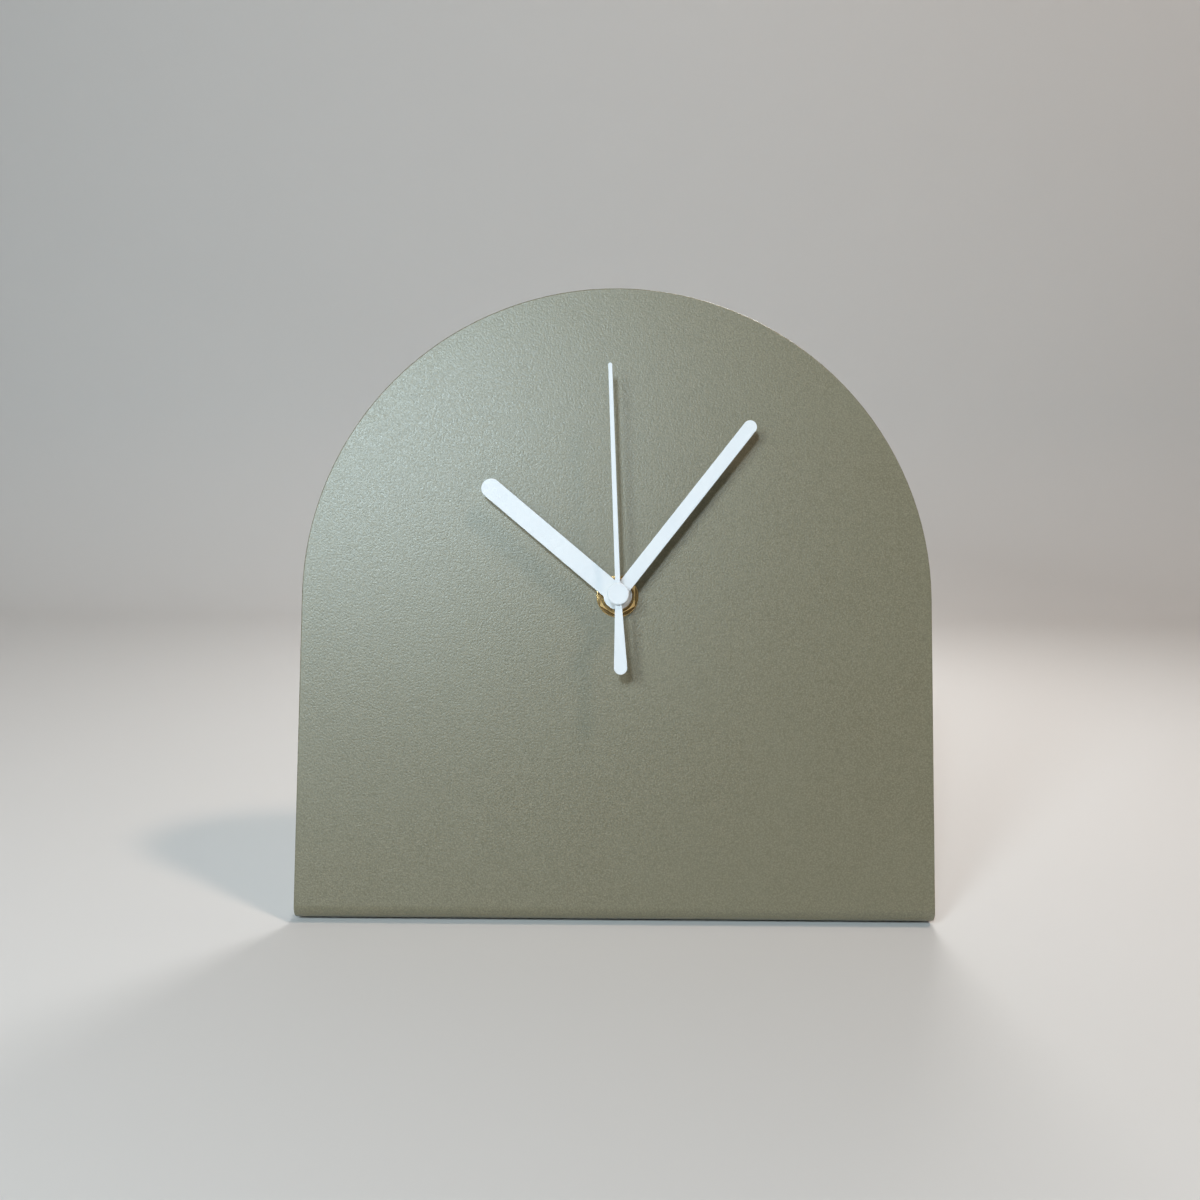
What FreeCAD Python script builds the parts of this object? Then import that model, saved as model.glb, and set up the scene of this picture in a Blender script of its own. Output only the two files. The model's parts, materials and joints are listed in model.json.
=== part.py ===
import FreeCAD, Part
import math
import os

# Shelf clock: a bent sheet with an arched face and a flat foot, three hands and a battery quartz works.
# Stand frame: +Z up, the face looks towards -Y, origin under the middle of the foot.
# Works frame: u across, v up the face, w out of the face towards the viewer, origin at the hub.

# Stand, one bent sheet
face_width = 200.0
hub_height = 102.5
sheet_thickness = 2.0
bend_inner_radius = 2.0
foot_depth = 70.0
foot_corner_radius = 8.0
edge_round = 0.4
face_lean_deg = 15.0

# Pads under the foot
pad_diameter = 10.0
pad_height = 1.0
pad_inset = 14.0
pad_edge_round = 0.3

# Clearances
running_clearance = 0.05
fixing_clearance = 0.1
axial_play = 0.2
layer_gap = 0.4
parts_gap = 0.6
overrun = 1.0

# Hardware at the hub
washer_diameter = 13.3
washer_thickness = 0.5
nut_across_flats = 11.0
nut_thickness = 2.0
nut_chamfer = 0.4
thread_show = 1.0
bush_wall = 1.45
bush_flange_width = 1.5
bush_flange_thickness = 0.8
bush_chamfer = 0.3
gasket_diameter = 26.0
gasket_thickness = 1.0

# Pipes and the second arbor, from the inside out
second_arbor_diameter = 1.0
minute_pipe_wall = 1.2
hour_pipe_wall = 0.7

# Hands
hand_thickness = 0.4
hour_tip_reach = 52.3
hour_hand_width = 6.2
hour_eye_diameter = 9.0
hour_collet_wall = 0.9
hour_hand_rise = 0.8
hour_pipe_show = 0.4
minute_tip_reach = 67.4
minute_hand_width = 4.3
minute_eye_diameter = 6.2
minute_collet_wall = 0.8
minute_hand_rise = 1.9
minute_pipe_show = 0.4
second_blade_thickness = 0.3
second_tip_reach = 72.2
second_root_width = 1.6
second_tip_width = 1.25
second_tail_reach = 22.85
second_tail_root_width = 1.8
second_tail_end_width = 4.1
second_eye_diameter = 3.6
second_collet_wall = 0.7
second_hand_rise = 1.8
cap_diameter = 6.85
cap_thickness = 1.1
cap_edge_round = 0.4
hour_hand_deg = -50.2
minute_hand_deg = 37.7
second_hand_deg = -2.4

# Case of the works
case_wall = 1.4
case_corner_radius = 3.0
partition_thickness = 1.2
cover_thickness = 1.4
cover_lip_depth = 1.2
cover_lip_width = 1.0
clip_width = 4.0
clip_depth = 2.4
finger_notch_radius = 8.0
post_diameter = 2.6
pin_diameter = 1.2
plate_margin = 1.2
plate_thickness = 1.0
bridge_thickness = 0.9
plate_corner_radius = 1.5

# Battery and its contacts
battery_diameter = 14.5
battery_length = 50.5
battery_nub_diameter = 5.5
battery_nub_height = 1.0
battery_edge_round = 0.5
bay_clearance = 0.25
contact_thickness = 0.3
contact_room = 1.35
contact_width = 8.0
contact_height = 11.0

# Gears
train_module = 0.3
motion_module_share = 4.0 / 3.0
pressure_angle_deg = 20.0
pinion_shift_share = 0.5
pinion_addendum_share = 0.8
wheel_addendum_share = 1.0
dedendum_share = 1.25
tooth_thinning = 0.04
rotor_pinion_teeth = 8
intermediate_wheel_teeth = 48
intermediate_pinion_teeth = 10
seconds_wheel_teeth = 50
seconds_pinion_teeth = 8
third_wheel_teeth = 60
third_pinion_teeth = 8
centre_wheel_teeth = 64
cannon_teeth = 12
minute_wheel_teeth = 36
minute_pinion_teeth = 10
hour_wheel_teeth = 40
setting_pinion_teeth = 18
hour_wheel_thickness = 1.1
minute_wheel_thickness = 1.0
cannon_length = 2.0
centre_wheel_thickness = 0.8
third_wheel_thickness = 0.7
seconds_wheel_thickness = 0.8
intermediate_wheel_thickness = 0.7
setting_pinion_thickness = 1.4
clutch_room = 0.6
clutch_sheet = 0.15
clutch_spring_width = 2.0
wheel_hub_width = 0.9

# Directions of the arbors, seen from the front, counter-clockwise from u
third_deg = 60.0
intermediate_deg = 150.0
rotor_deg = 100.0
minute_wheel_deg = -12.0
setting_deg = 25.0

# Directions of the plate posts, each from the arbor that it clears
left_low_post_deg = 210.0
left_high_post_deg = 160.0
right_low_post_deg = -35.0
right_high_post_deg = 60.0

# Arbors, pivots and their bosses
arbor_diameter = 1.2
pivot_diameter = 0.7
pivot_length = 0.7
boss_wall = 0.95
stud_diameter = 2.0

# Motor
magnet_diameter = 6.0
magnet_height = 2.4
magnet_air_gap = 0.5
stator_lobe_width = 1.7
stator_bar_height = 5.0
stator_arm_width = 3.5
stator_thickness = 1.0
stator_drop = 2.6
core_length = 21.5
core_width = 3.0
core_thickness = 1.0
coil_offset = 9.7
bobbin_barrel_diameter = 4.0
bobbin_flange_diameter = 7.0
bobbin_flange_thickness = 0.8
winding_diameter = 6.6

# Electronics
board_height = 13.0
board_thickness = 1.0
board_level = 7.6
chip_diameter = 5.0
chip_height = 1.0
chip_round_share = 0.8
crystal_diameter = 2.0
crystal_length = 6.0
crystal_edge_round = 0.3

# Setting knob
knob_diameter = 10.0
knob_thickness = 2.6
knob_arbor_diameter = 3.0
knob_notches = 16
knob_notch_radius = 0.5
knob_edge_round = 0.4
knob_stand_off = 0.4

# Stand, worked out
face_lean = math.radians(face_lean_deg)
bend_outer_radius = bend_inner_radius + sheet_thickness
half_width = face_width / 2.0
foot_front = -foot_depth / 2.0
foot_rear = foot_depth / 2.0
bend_centre_y = foot_front + bend_outer_radius
bend_centre_z = pad_height + bend_outer_radius
corner_run = bend_outer_radius / math.tan((math.pi / 2.0 - face_lean) / 2.0)
corner_y = bend_centre_y - corner_run
hub_point = FreeCAD.Vector(
    0.0,
    corner_y + hub_height * math.sin(face_lean),
    pad_height + hub_height * math.cos(face_lean),
)
works_placement = FreeCAD.Placement(
    hub_point, FreeCAD.Rotation(FreeCAD.Vector(1, 0, 0), 90.0 - face_lean_deg)
)

# Radii of the pipes, worked out from the second arbor outwards
second_arbor_radius = second_arbor_diameter / 2.0
minute_bore_radius = second_arbor_radius + running_clearance
minute_pipe_radius = minute_bore_radius + minute_pipe_wall
hour_bore_radius = minute_pipe_radius + running_clearance
hour_pipe_radius = hour_bore_radius + hour_pipe_wall
bush_bore_radius = hour_pipe_radius + running_clearance
bush_radius = bush_bore_radius + bush_wall
bush_flange_radius = bush_radius + bush_flange_width

# Levels in front of the face, along w
nut_low = washer_thickness
nut_high = nut_low + nut_thickness
bush_high = nut_high + thread_show
hour_hand_low = bush_high + hour_hand_rise
hour_hand_high = hour_hand_low + hand_thickness
hour_pipe_high = hour_hand_high + hour_pipe_show
minute_hand_low = hour_pipe_high + minute_hand_rise
minute_hand_high = minute_hand_low + hand_thickness
minute_pipe_high = minute_hand_high + minute_pipe_show
second_hand_low = minute_pipe_high + second_hand_rise
second_hand_high = second_hand_low + second_blade_thickness
cap_high = second_hand_high + cap_thickness

# Levels behind the face, along w, from the case's front to its rear
gasket_low = -sheet_thickness - gasket_thickness
case_front = gasket_low
case_floor = case_front - case_wall
hour_wheel_high = case_floor - layer_gap
hour_wheel_low = hour_wheel_high - hour_wheel_thickness
cannon_high = hour_wheel_low - layer_gap
cannon_low = cannon_high - cannon_length
minute_wheel_low = cannon_low
minute_wheel_high = minute_wheel_low + minute_wheel_thickness
setting_pinion_low = minute_wheel_low - axial_play
setting_pinion_high = setting_pinion_low + setting_pinion_thickness
centre_wheel_high = cannon_low - clutch_room
centre_wheel_low = centre_wheel_high - centre_wheel_thickness
plate_high = centre_wheel_low - parts_gap
plate_low = plate_high - plate_thickness
third_wheel_high = plate_low - parts_gap
third_wheel_low = third_wheel_high - third_wheel_thickness
third_pinion_high = centre_wheel_high + axial_play
third_pinion_low = centre_wheel_low - axial_play
seconds_pinion_high = third_wheel_high + axial_play
seconds_pinion_low = third_wheel_low - axial_play
seconds_wheel_high = seconds_pinion_low - parts_gap
seconds_wheel_low = seconds_wheel_high - seconds_wheel_thickness
intermediate_pinion_high = seconds_wheel_high + axial_play
intermediate_pinion_low = seconds_wheel_low - axial_play
intermediate_wheel_high = intermediate_pinion_low - layer_gap
intermediate_wheel_low = intermediate_wheel_high - intermediate_wheel_thickness
rotor_pinion_high = intermediate_wheel_high + axial_play
rotor_pinion_low = intermediate_wheel_low - axial_play
bridge_high = rotor_pinion_low - parts_gap
bridge_low = bridge_high - bridge_thickness
cover_high = bridge_low - parts_gap
cover_low = cover_high - cover_thickness
stator_high = case_floor - stator_drop
stator_low = stator_high - stator_thickness
core_low = stator_low - core_thickness
coil_axis_w = (stator_low + core_low) / 2.0
magnet_high = (stator_high + stator_low + magnet_height) / 2.0
board_high = case_floor - board_level
board_low = board_high - board_thickness
knob_high = cover_low - knob_stand_off
knob_low = knob_high - knob_thickness

# Centre distances of the gear pairs, and the modules that fit them
motion_module = train_module * motion_module_share
third_distance = train_module * (seconds_pinion_teeth + third_wheel_teeth) / 2.0
centre_mesh_module = 2.0 * third_distance / (third_pinion_teeth + centre_wheel_teeth)
intermediate_distance = train_module * (intermediate_pinion_teeth + seconds_wheel_teeth) / 2.0
rotor_distance = train_module * (rotor_pinion_teeth + intermediate_wheel_teeth) / 2.0
minute_distance = motion_module * (cannon_teeth + minute_wheel_teeth) / 2.0
hour_mesh_module = 2.0 * minute_distance / (minute_pinion_teeth + hour_wheel_teeth)
setting_distance = motion_module * (minute_wheel_teeth + setting_pinion_teeth) / 2.0


def place(start, distance, degrees):
    """The point at a distance and a direction from another."""
    angle = math.radians(degrees)
    return (start[0] + distance * math.cos(angle), start[1] + distance * math.sin(angle))


def wheel_tip(teeth, module):
    """Outside radius of a wheel."""
    return module * (teeth / 2.0 + wheel_addendum_share - pinion_shift_share)


def pinion_tip(teeth, module):
    """Outside radius of a pinion."""
    return module * (teeth / 2.0 + pinion_addendum_share + pinion_shift_share)


shaft = (0.0, 0.0)
third = place(shaft, third_distance, third_deg)
intermediate = place(shaft, intermediate_distance, intermediate_deg)
rotor = place(intermediate, rotor_distance, rotor_deg)
motion = place(shaft, minute_distance, minute_wheel_deg)
setting = place(motion, setting_distance, setting_deg)

# Outside radii that other pieces keep clear of
centre_tip = wheel_tip(centre_wheel_teeth, centre_mesh_module)
third_tip = wheel_tip(third_wheel_teeth, train_module)
intermediate_tip = wheel_tip(intermediate_wheel_teeth, train_module)
minute_wheel_tip = wheel_tip(minute_wheel_teeth, motion_module)
third_pinion_tip = pinion_tip(third_pinion_teeth, centre_mesh_module)

# Radii of small round features
post_radius = post_diameter / 2.0
pin_radius = pin_diameter / 2.0
arbor_radius = arbor_diameter / 2.0
pivot_radius = pivot_diameter / 2.0
stud_radius = stud_diameter / 2.0
boss_radius = pivot_radius + running_clearance + boss_wall
battery_radius = battery_diameter / 2.0
magnet_radius = magnet_diameter / 2.0
magnet_hole_radius = magnet_radius + magnet_air_gap
flange_radius = bobbin_flange_diameter / 2.0
knob_arbor_radius = knob_arbor_diameter / 2.0

# Plan of the case, around the train and the battery
partition_high = -centre_tip - layer_gap - parts_gap - axial_play
partition_low = partition_high - partition_thickness
bay_low = partition_low - battery_diameter - 2.0 * bay_clearance
case_low = bay_low - case_wall
bay_half_length = battery_length / 2.0 + contact_room
case_half_width = bay_half_length + case_wall
coil_centre = (rotor[0], rotor[1] + coil_offset)
works_high = coil_centre[1] + flange_radius + parts_gap
case_high = works_high + case_wall
battery_centre_v = (partition_low + bay_low) / 2.0
battery_centre_w = case_floor - bay_clearance - battery_radius

# Posts that carry the middle plate and the bridge
post_clear = post_radius + parts_gap
posts = [
    place(shaft, centre_tip + post_clear, left_low_post_deg),
    place(intermediate, intermediate_tip + post_clear, left_high_post_deg),
    place(motion, minute_wheel_tip + post_clear, right_low_post_deg),
    place(third, third_tip + post_clear, right_high_post_deg),
]
stator_reach = (core_length - stator_arm_width) / 2.0
stator_posts = [(rotor[0] - stator_reach, rotor[1]), (rotor[0] + stator_reach, rotor[1])]

# Plan of the circuit board, in the corner beside the third wheel
board_left = third[0] + third_tip + parts_gap
board_right = case_half_width - case_wall - layer_gap
board_top = works_high - layer_gap
board_bottom = board_top - board_height
board_post_inset = post_radius + plate_margin
board_posts = [
    (board_right - board_post_inset, board_bottom + board_post_inset),
    (board_right - board_post_inset, board_top - board_post_inset),
]


def disc(centre, radius, w_low, w_high):
    """A round bar along w."""
    base = FreeCAD.Vector(centre[0], centre[1], w_low)
    return Part.makeCylinder(radius, w_high - w_low, base)


def ring(centre, outer, inner, w_low, w_high):
    """A round bar along w with a bore."""
    bore = disc(centre, inner, w_low - overrun, w_high + overrun)
    return disc(centre, outer, w_low, w_high).cut(bore)


def slab(u_low, u_high, v_low, v_high, w_low, w_high):
    """A block between two corners."""
    base = FreeCAD.Vector(u_low, v_low, w_low)
    return Part.makeBox(u_high - u_low, v_high - v_low, w_high - w_low, base)


def upright_edges(shape):
    """The edges of a block that run along w."""
    return [edge for edge in shape.Edges if abs(edge.tangentAt(edge.FirstParameter).z) > 0.5]


def rounded_slab(u_low, u_high, v_low, v_high, w_low, w_high, radius):
    """A block whose four upright edges are rounded."""
    block = slab(u_low, u_high, v_low, v_high, w_low, w_high)
    return block.makeFillet(radius, upright_edges(block))


def prism(points, w_low, w_high):
    """A straight-sided plate from its corners."""
    corners = [FreeCAD.Vector(u, v, w_low) for u, v in points]
    outline = Part.makePolygon(corners + corners[:1])
    return Part.Face(outline).extrude(FreeCAD.Vector(0, 0, w_high - w_low))


def joined(shapes):
    """Several shapes as one solid with no seams."""
    whole = shapes[0].multiFuse(shapes[1:])
    return whole.removeSplitter()


def circle_edges(shape, radius, w_level):
    """The full round edges of a radius that lie at one level."""
    found = []
    for edge in shape.Edges:
        curve = edge.Curve
        if isinstance(curve, Part.Circle) and edge.isClosed():
            same_size = abs(curve.Radius - radius) < edge.Tolerance * 10.0
            same_level = abs(curve.Center.z - w_level) < edge.Tolerance * 10.0
            if same_size and same_level:
                found.append(edge)
    return found


def save(name, shape):
    """Writes a piece that is already in the stand frame."""
    solid = shape.Solids[0] if len(shape.Solids) == 1 else shape
    solid.exportStep("parts/" + name + ".step")


def save_works(name, shape):
    """Writes a piece of the works frame, turned into the leaning face."""
    save(name, shape.transformed(works_placement.toMatrix(), copy=True))


def polar(centre, radius, angle, w):
    """A point around a centre."""
    return FreeCAD.Vector(
        centre[0] + radius * math.cos(angle), centre[1] + radius * math.sin(angle), w
    )


def involute(angle):
    """The involute function."""
    return math.tan(angle) - angle


class Gear:
    """A spur gear with involute flanks: its teeth, module, profile shift and place."""

    def __init__(self, centre, teeth, module, shift_share, addendum_share, phase=0.0):
        self.centre = centre
        self.teeth = teeth
        self.phase = phase
        pressure = math.radians(pressure_angle_deg)
        self.pitch = module * teeth / 2.0
        self.base = self.pitch * math.cos(pressure)
        self.root = self.pitch + (shift_share - dedendum_share) * module
        self.tip = self.pitch + (shift_share + addendum_share) * module
        thickness = module * (math.pi / 2.0 + 2.0 * shift_share * math.tan(pressure))
        self.half_turn = (thickness - tooth_thinning) / (2.0 * self.pitch) + involute(pressure)

    def half_tooth(self, radius):
        """Half of the angle that a tooth spans at a radius."""
        return self.half_turn - involute(math.acos(min(1.0, self.base / radius)))

    def mesh(self, other):
        """Turns this gear so that it meshes with another one."""
        towards = math.atan2(
            self.centre[1] - other.centre[1], self.centre[0] - other.centre[0]
        )
        ratio = other.teeth / self.teeth
        lead = (other.phase - towards) * ratio
        self.phase = towards + math.pi + math.pi / self.teeth - lead

    def solid(self, w_low, w_high):
        """The toothed body between two levels."""
        foot = max(self.root, self.base)
        middle = (foot + self.tip) / 2.0
        edges = []
        first = None
        last = None
        for tooth in range(self.teeth):
            angle = self.phase + 2.0 * math.pi * tooth / self.teeth
            corners = []
            for side in (-1.0, 1.0):
                flank = [
                    polar(self.centre, radius, angle + side * self.half_tooth(radius), w_low)
                    for radius in (foot, middle, self.tip)
                ]
                low = polar(self.centre, self.root, angle + side * self.half_tooth(foot), w_low)
                corners.append((low, flank))
            (rise_low, rise), (fall_low, fall) = corners
            if last is not None:
                edges.append(Part.LineSegment(last, rise_low).toShape())
            else:
                first = rise_low
            if self.root < self.base:
                edges.append(Part.LineSegment(rise_low, rise[0]).toShape())
            edges.append(Part.Arc(rise[0], rise[1], rise[2]).toShape())
            edges.append(Part.LineSegment(rise[2], fall[2]).toShape())
            edges.append(Part.Arc(fall[2], fall[1], fall[0]).toShape())
            if self.root < self.base:
                edges.append(Part.LineSegment(fall[0], fall_low).toShape())
            last = fall_low
        edges.append(Part.LineSegment(last, first).toShape())
        outline = Part.Face(Part.Wire(edges))
        return outline.extrude(FreeCAD.Vector(0, 0, w_high - w_low))


def make_wheel(centre, teeth, module):
    """A wheel: its profile is shifted inwards."""
    return Gear(centre, teeth, module, -pinion_shift_share, wheel_addendum_share)


def make_pinion(centre, teeth, module):
    """A pinion: its profile is shifted outwards."""
    return Gear(centre, teeth, module, pinion_shift_share, pinion_addendum_share)


# Gears of the going train, each turned into mesh with the one before
seconds_gear = make_wheel(shaft, seconds_wheel_teeth, train_module)
seconds_pinion = make_pinion(shaft, seconds_pinion_teeth, train_module)
third_gear = make_wheel(third, third_wheel_teeth, train_module)
third_gear.mesh(seconds_pinion)
third_pinion = make_pinion(third, third_pinion_teeth, centre_mesh_module)
centre_gear = make_wheel(shaft, centre_wheel_teeth, centre_mesh_module)
centre_gear.mesh(third_pinion)
intermediate_pinion = make_pinion(intermediate, intermediate_pinion_teeth, train_module)
intermediate_pinion.mesh(seconds_gear)
intermediate_gear = make_wheel(intermediate, intermediate_wheel_teeth, train_module)
rotor_gear = make_pinion(rotor, rotor_pinion_teeth, train_module)
rotor_gear.mesh(intermediate_gear)

# Gears of the motion works and of the setting knob
cannon = make_pinion(shaft, cannon_teeth, motion_module)
minute_gear = make_wheel(motion, minute_wheel_teeth, motion_module)
minute_gear.mesh(cannon)
minute_pinion = make_pinion(motion, minute_pinion_teeth, hour_mesh_module)
hour_gear = make_wheel(shaft, hour_wheel_teeth, hour_mesh_module)
hour_gear.mesh(minute_pinion)
setting_gear = make_pinion(setting, setting_pinion_teeth, motion_module)
setting_gear.mesh(minute_gear)


def sharp_edges(shape):
    """The edges where two faces meet square, except those across the sheet's thickness."""
    found = []
    for edge in shape.Edges:
        if edge.Length < sheet_thickness + edge_round:
            continue
        middle = edge.valueAt((edge.FirstParameter + edge.LastParameter) / 2.0)
        normals = []
        for face in shape.ancestorsOfType(edge, Part.Face):
            normals.append(face.normalAt(*face.Surface.parameter(middle)))
        if len(normals) == 2 and abs(normals[0].dot(normals[1])) < math.cos(math.pi / 3.0):
            found.append(edge)
    return found


def bend_point(radius, angle):
    """A point on an arc of the bend, in the plane across the stand."""
    return FreeCAD.Vector(
        -half_width,
        bend_centre_y + radius * math.cos(angle),
        bend_centre_z + radius * math.sin(angle),
    )


def face_point(offset, along):
    """A point beside the face, in the plane across the stand: offset inwards, along upwards."""
    start = bend_point(bend_outer_radius - offset, math.pi - face_lean)
    return start.add(
        FreeCAD.Vector(0, along * math.sin(face_lean), along * math.cos(face_lean))
    )


def face_stand():
    """The bent sheet: arched face, bend and foot."""
    rise = hub_height + half_width + overrun
    down = -math.pi / 2.0
    up = -math.pi - face_lean
    middle = (down + up) / 2.0
    outer_rear = FreeCAD.Vector(-half_width, foot_rear, pad_height)
    inner_rear = FreeCAD.Vector(-half_width, foot_rear, pad_height + sheet_thickness)
    outer = [bend_point(bend_outer_radius, angle) for angle in (up, middle, down)]
    inner = [bend_point(bend_inner_radius, angle) for angle in (down, middle, up)]
    outer_top = face_point(0.0, rise)
    inner_top = face_point(sheet_thickness, rise)
    section = Part.Wire([
        Part.LineSegment(outer_top, outer[0]).toShape(),
        Part.Arc(outer[0], outer[1], outer[2]).toShape(),
        Part.LineSegment(outer[2], outer_rear).toShape(),
        Part.LineSegment(outer_rear, inner_rear).toShape(),
        Part.LineSegment(inner_rear, inner[0]).toShape(),
        Part.Arc(inner[0], inner[1], inner[2]).toShape(),
        Part.LineSegment(inner[2], inner_top).toShape(),
        Part.LineSegment(inner_top, outer_top).toShape(),
    ])
    sheet = Part.Face(section).extrude(FreeCAD.Vector(face_width, 0, 0))
    reach = face_width + foot_depth + hub_height
    arch = joined([
        disc(shaft, half_width, -reach, reach),
        slab(-half_width, half_width, -reach, 0.0, -reach, reach),
    ])
    sheet = sheet.common(arch.transformed(works_placement.toMatrix(), copy=True))
    rear_corners = []
    for edge in sheet.Edges:
        ends = [vertex.Point for vertex in edge.Vertexes]
        at_rear = all(abs(point.y - foot_rear) < edge_round for point in ends)
        if at_rear and abs(ends[0].x - ends[-1].x) < edge_round:
            rear_corners.append(edge)
    sheet = sheet.makeFillet(foot_corner_radius, rear_corners)
    sheet = sheet.makeFillet(edge_round, sharp_edges(sheet))
    hole = disc(shaft, bush_radius + fixing_clearance, -sheet_thickness - overrun, overrun)
    return sheet.cut(hole.transformed(works_placement.toMatrix(), copy=True))


def foot_pads():
    """Four round pads, set in from the foot's corners and clear of the bend."""
    radius = pad_diameter / 2.0
    front = bend_centre_y + pad_inset / 2.0
    rear = foot_rear - pad_inset
    side = half_width - pad_inset
    pads = []
    for x, y in ((-side, front), (side, front), (-side, rear), (side, rear)):
        pad = Part.makeCylinder(radius, pad_height, FreeCAD.Vector(x, y, 0.0))
        pads.append(pad.makeFillet(pad_edge_round, circle_edges(pad, radius, 0.0)))
    return Part.makeCompound(pads)


def hex_nut():
    """A hexagon nut with its corners chamfered on the front, flats left and right."""
    corner = nut_across_flats / math.sqrt(3.0)
    points = []
    for side in range(6):
        angle = math.pi / 2.0 + side * math.pi / 3.0
        points.append((corner * math.cos(angle), corner * math.sin(angle)))
    blank = prism(points, nut_low, nut_high)
    flat_radius = nut_across_flats / 2.0
    spread = (corner - flat_radius) / nut_chamfer * nut_thickness
    cone = Part.makeCone(
        flat_radius + spread, flat_radius, nut_thickness, FreeCAD.Vector(0, 0, nut_low)
    )
    bore = disc(shaft, bush_radius + running_clearance, nut_low - overrun, nut_high + overrun)
    return blank.common(cone).cut(bore)


def threaded_bush():
    """The bush that carries the works on the face, with its flange in the case's floor."""
    body = disc(shaft, bush_radius, case_floor, bush_high)
    body = body.makeChamfer(bush_chamfer, circle_edges(body, bush_radius, bush_high))
    flange = disc(shaft, bush_flange_radius, case_floor, case_floor + bush_flange_thickness)
    bore = disc(shaft, bush_bore_radius, case_floor - overrun, bush_high + overrun)
    return joined([body, flange]).cut(bore)


def turned(shape, degrees):
    """A hand's piece turned clockwise from twelve."""
    copy = shape.copy()
    copy.rotate(FreeCAD.Vector(0, 0, 0), FreeCAD.Vector(0, 0, 1), -degrees)
    return copy


def baton(reach, width, eye_diameter, hole_radius, w_low, w_high, degrees):
    """A straight hand with a round tip and a round eye."""
    blade = joined([
        slab(-width / 2.0, width / 2.0, 0.0, reach, w_low, w_high),
        disc((0.0, reach), width / 2.0, w_low, w_high),
        disc(shaft, eye_diameter / 2.0, w_low, w_high),
    ])
    hole = disc(shaft, hole_radius, w_low - overrun, w_high + overrun)
    return turned(blade.cut(hole), degrees)


def taper(root_width, end_width, reach, w_low, w_high):
    """A blade from the hub to a round end, whose width changes steadily."""
    points = [
        (-root_width / 2.0, 0.0),
        (root_width / 2.0, 0.0),
        (end_width / 2.0, reach),
        (-end_width / 2.0, reach),
    ]
    end = disc((0.0, reach), end_width / 2.0, w_low, w_high)
    return joined([prism(points, w_low, w_high), end])


def second_hand():
    """The second hand: thin blade, widening tail."""
    low = second_hand_low
    high = second_hand_high
    blade = taper(second_root_width, second_tip_width, second_tip_reach, low, high)
    tail = taper(second_tail_root_width, second_tail_end_width, second_tail_reach, low, high)
    eye = disc(shaft, second_eye_diameter / 2.0, low, high)
    whole = joined([blade, turned(tail, 180.0), eye])
    hole = disc(shaft, second_arbor_radius, low - overrun, high + overrun)
    return turned(whole.cut(hole), second_hand_deg)


def second_hand_cap():
    """The round cap over the second hand's eye."""
    radius = cap_diameter / 2.0
    cap = disc(shaft, radius, second_hand_high, cap_high)
    return cap.makeFillet(cap_edge_round, circle_edges(cap, radius, cap_high))


def post(centre, shoulder, pin_end):
    """A post on the case's floor with a thinner pin at its end."""
    return joined([
        disc(centre, post_radius, shoulder, case_floor),
        disc(centre, pin_radius, pin_end, case_floor),
    ])


def pivot_boss(centre, boss_end):
    """A boss on the case's floor with a blind hole for a pivot."""
    body = disc(centre, boss_radius, boss_end, case_floor)
    depth = pivot_length + axial_play
    hole = disc(centre, pivot_radius + running_clearance, boss_end - overrun, boss_end + depth)
    return body.cut(hole)


def clip_places():
    """The middles of the four cover clips, on the side walls of the works."""
    high = works_high - case_corner_radius - clip_width
    low = partition_high + clip_width
    side = case_half_width
    return [(-side, low), (-side, high), (side, low), (side, high)]


def clip(side_u, v, spread):
    """The block of one clip, in the outer half of the wall: larger by the spread for its notch."""
    half = clip_width / 2.0 + spread
    outward = math.copysign(1.0, side_u)
    near = side_u - outward * (case_wall / 2.0 + spread)
    far = side_u + outward * spread
    depth = clip_depth + spread
    return slab(min(near, far), max(near, far), v - half, v + half, cover_high, cover_high + depth)


def movement_case():
    """The moulded case: tray with walls, battery bay, posts, bosses and the minute wheel's stud."""
    box = rounded_slab(
        -case_half_width, case_half_width, case_low, case_high, cover_low, case_front, case_corner_radius
    )
    inner_side = case_half_width - case_wall
    works_room = slab(-inner_side, inner_side, partition_high, works_high, cover_low - overrun, case_floor)
    bay = slab(-bay_half_length, bay_half_length, bay_low, partition_low, cover_low - overrun, case_floor)
    lid_seat = slab(
        -case_half_width - overrun,
        case_half_width + overrun,
        partition_low,
        case_high + overrun,
        cover_low - overrun,
        cover_high,
    )
    finger = Part.makeCylinder(
        finger_notch_radius,
        case_wall + 2.0 * overrun,
        FreeCAD.Vector(0, case_low - overrun, cover_low),
        FreeCAD.Vector(0, 1, 0),
    )
    tray = box.cut(works_room).cut(bay).cut(lid_seat).cut(finger)
    for side_u, v in clip_places():
        tray = tray.cut(clip(side_u, v, fixing_clearance))
    features = [post(centre, plate_high, plate_low) for centre in posts]
    features += [post(centre, stator_high, stator_low) for centre in stator_posts]
    features += [post(centre, board_high, board_low) for centre in board_posts]
    features.append(pivot_boss(third, third_pinion_high + axial_play))
    features.append(pivot_boss(rotor, magnet_high + axial_play))
    features.append(disc(motion, stud_radius, minute_wheel_low - axial_play, case_floor))
    features.append(disc(motion, stud_radius + boss_wall, hour_wheel_high + axial_play, case_floor))
    features.append(setting_boss())
    tray = joined([tray] + features)
    hole = disc(shaft, bush_radius, case_floor - overrun, case_front + overrun)
    flange_seat = disc(
        shaft, bush_flange_radius, case_floor - overrun, case_floor + bush_flange_thickness
    )
    return tray.cut(hole).cut(flange_seat)


def setting_boss():
    """The boss that holds the front end of the knob's arbor."""
    inner = knob_arbor_radius / 2.0 + running_clearance
    low = setting_pinion_high + axial_play
    return ring(setting, inner + boss_wall, inner, low, case_floor)


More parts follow.
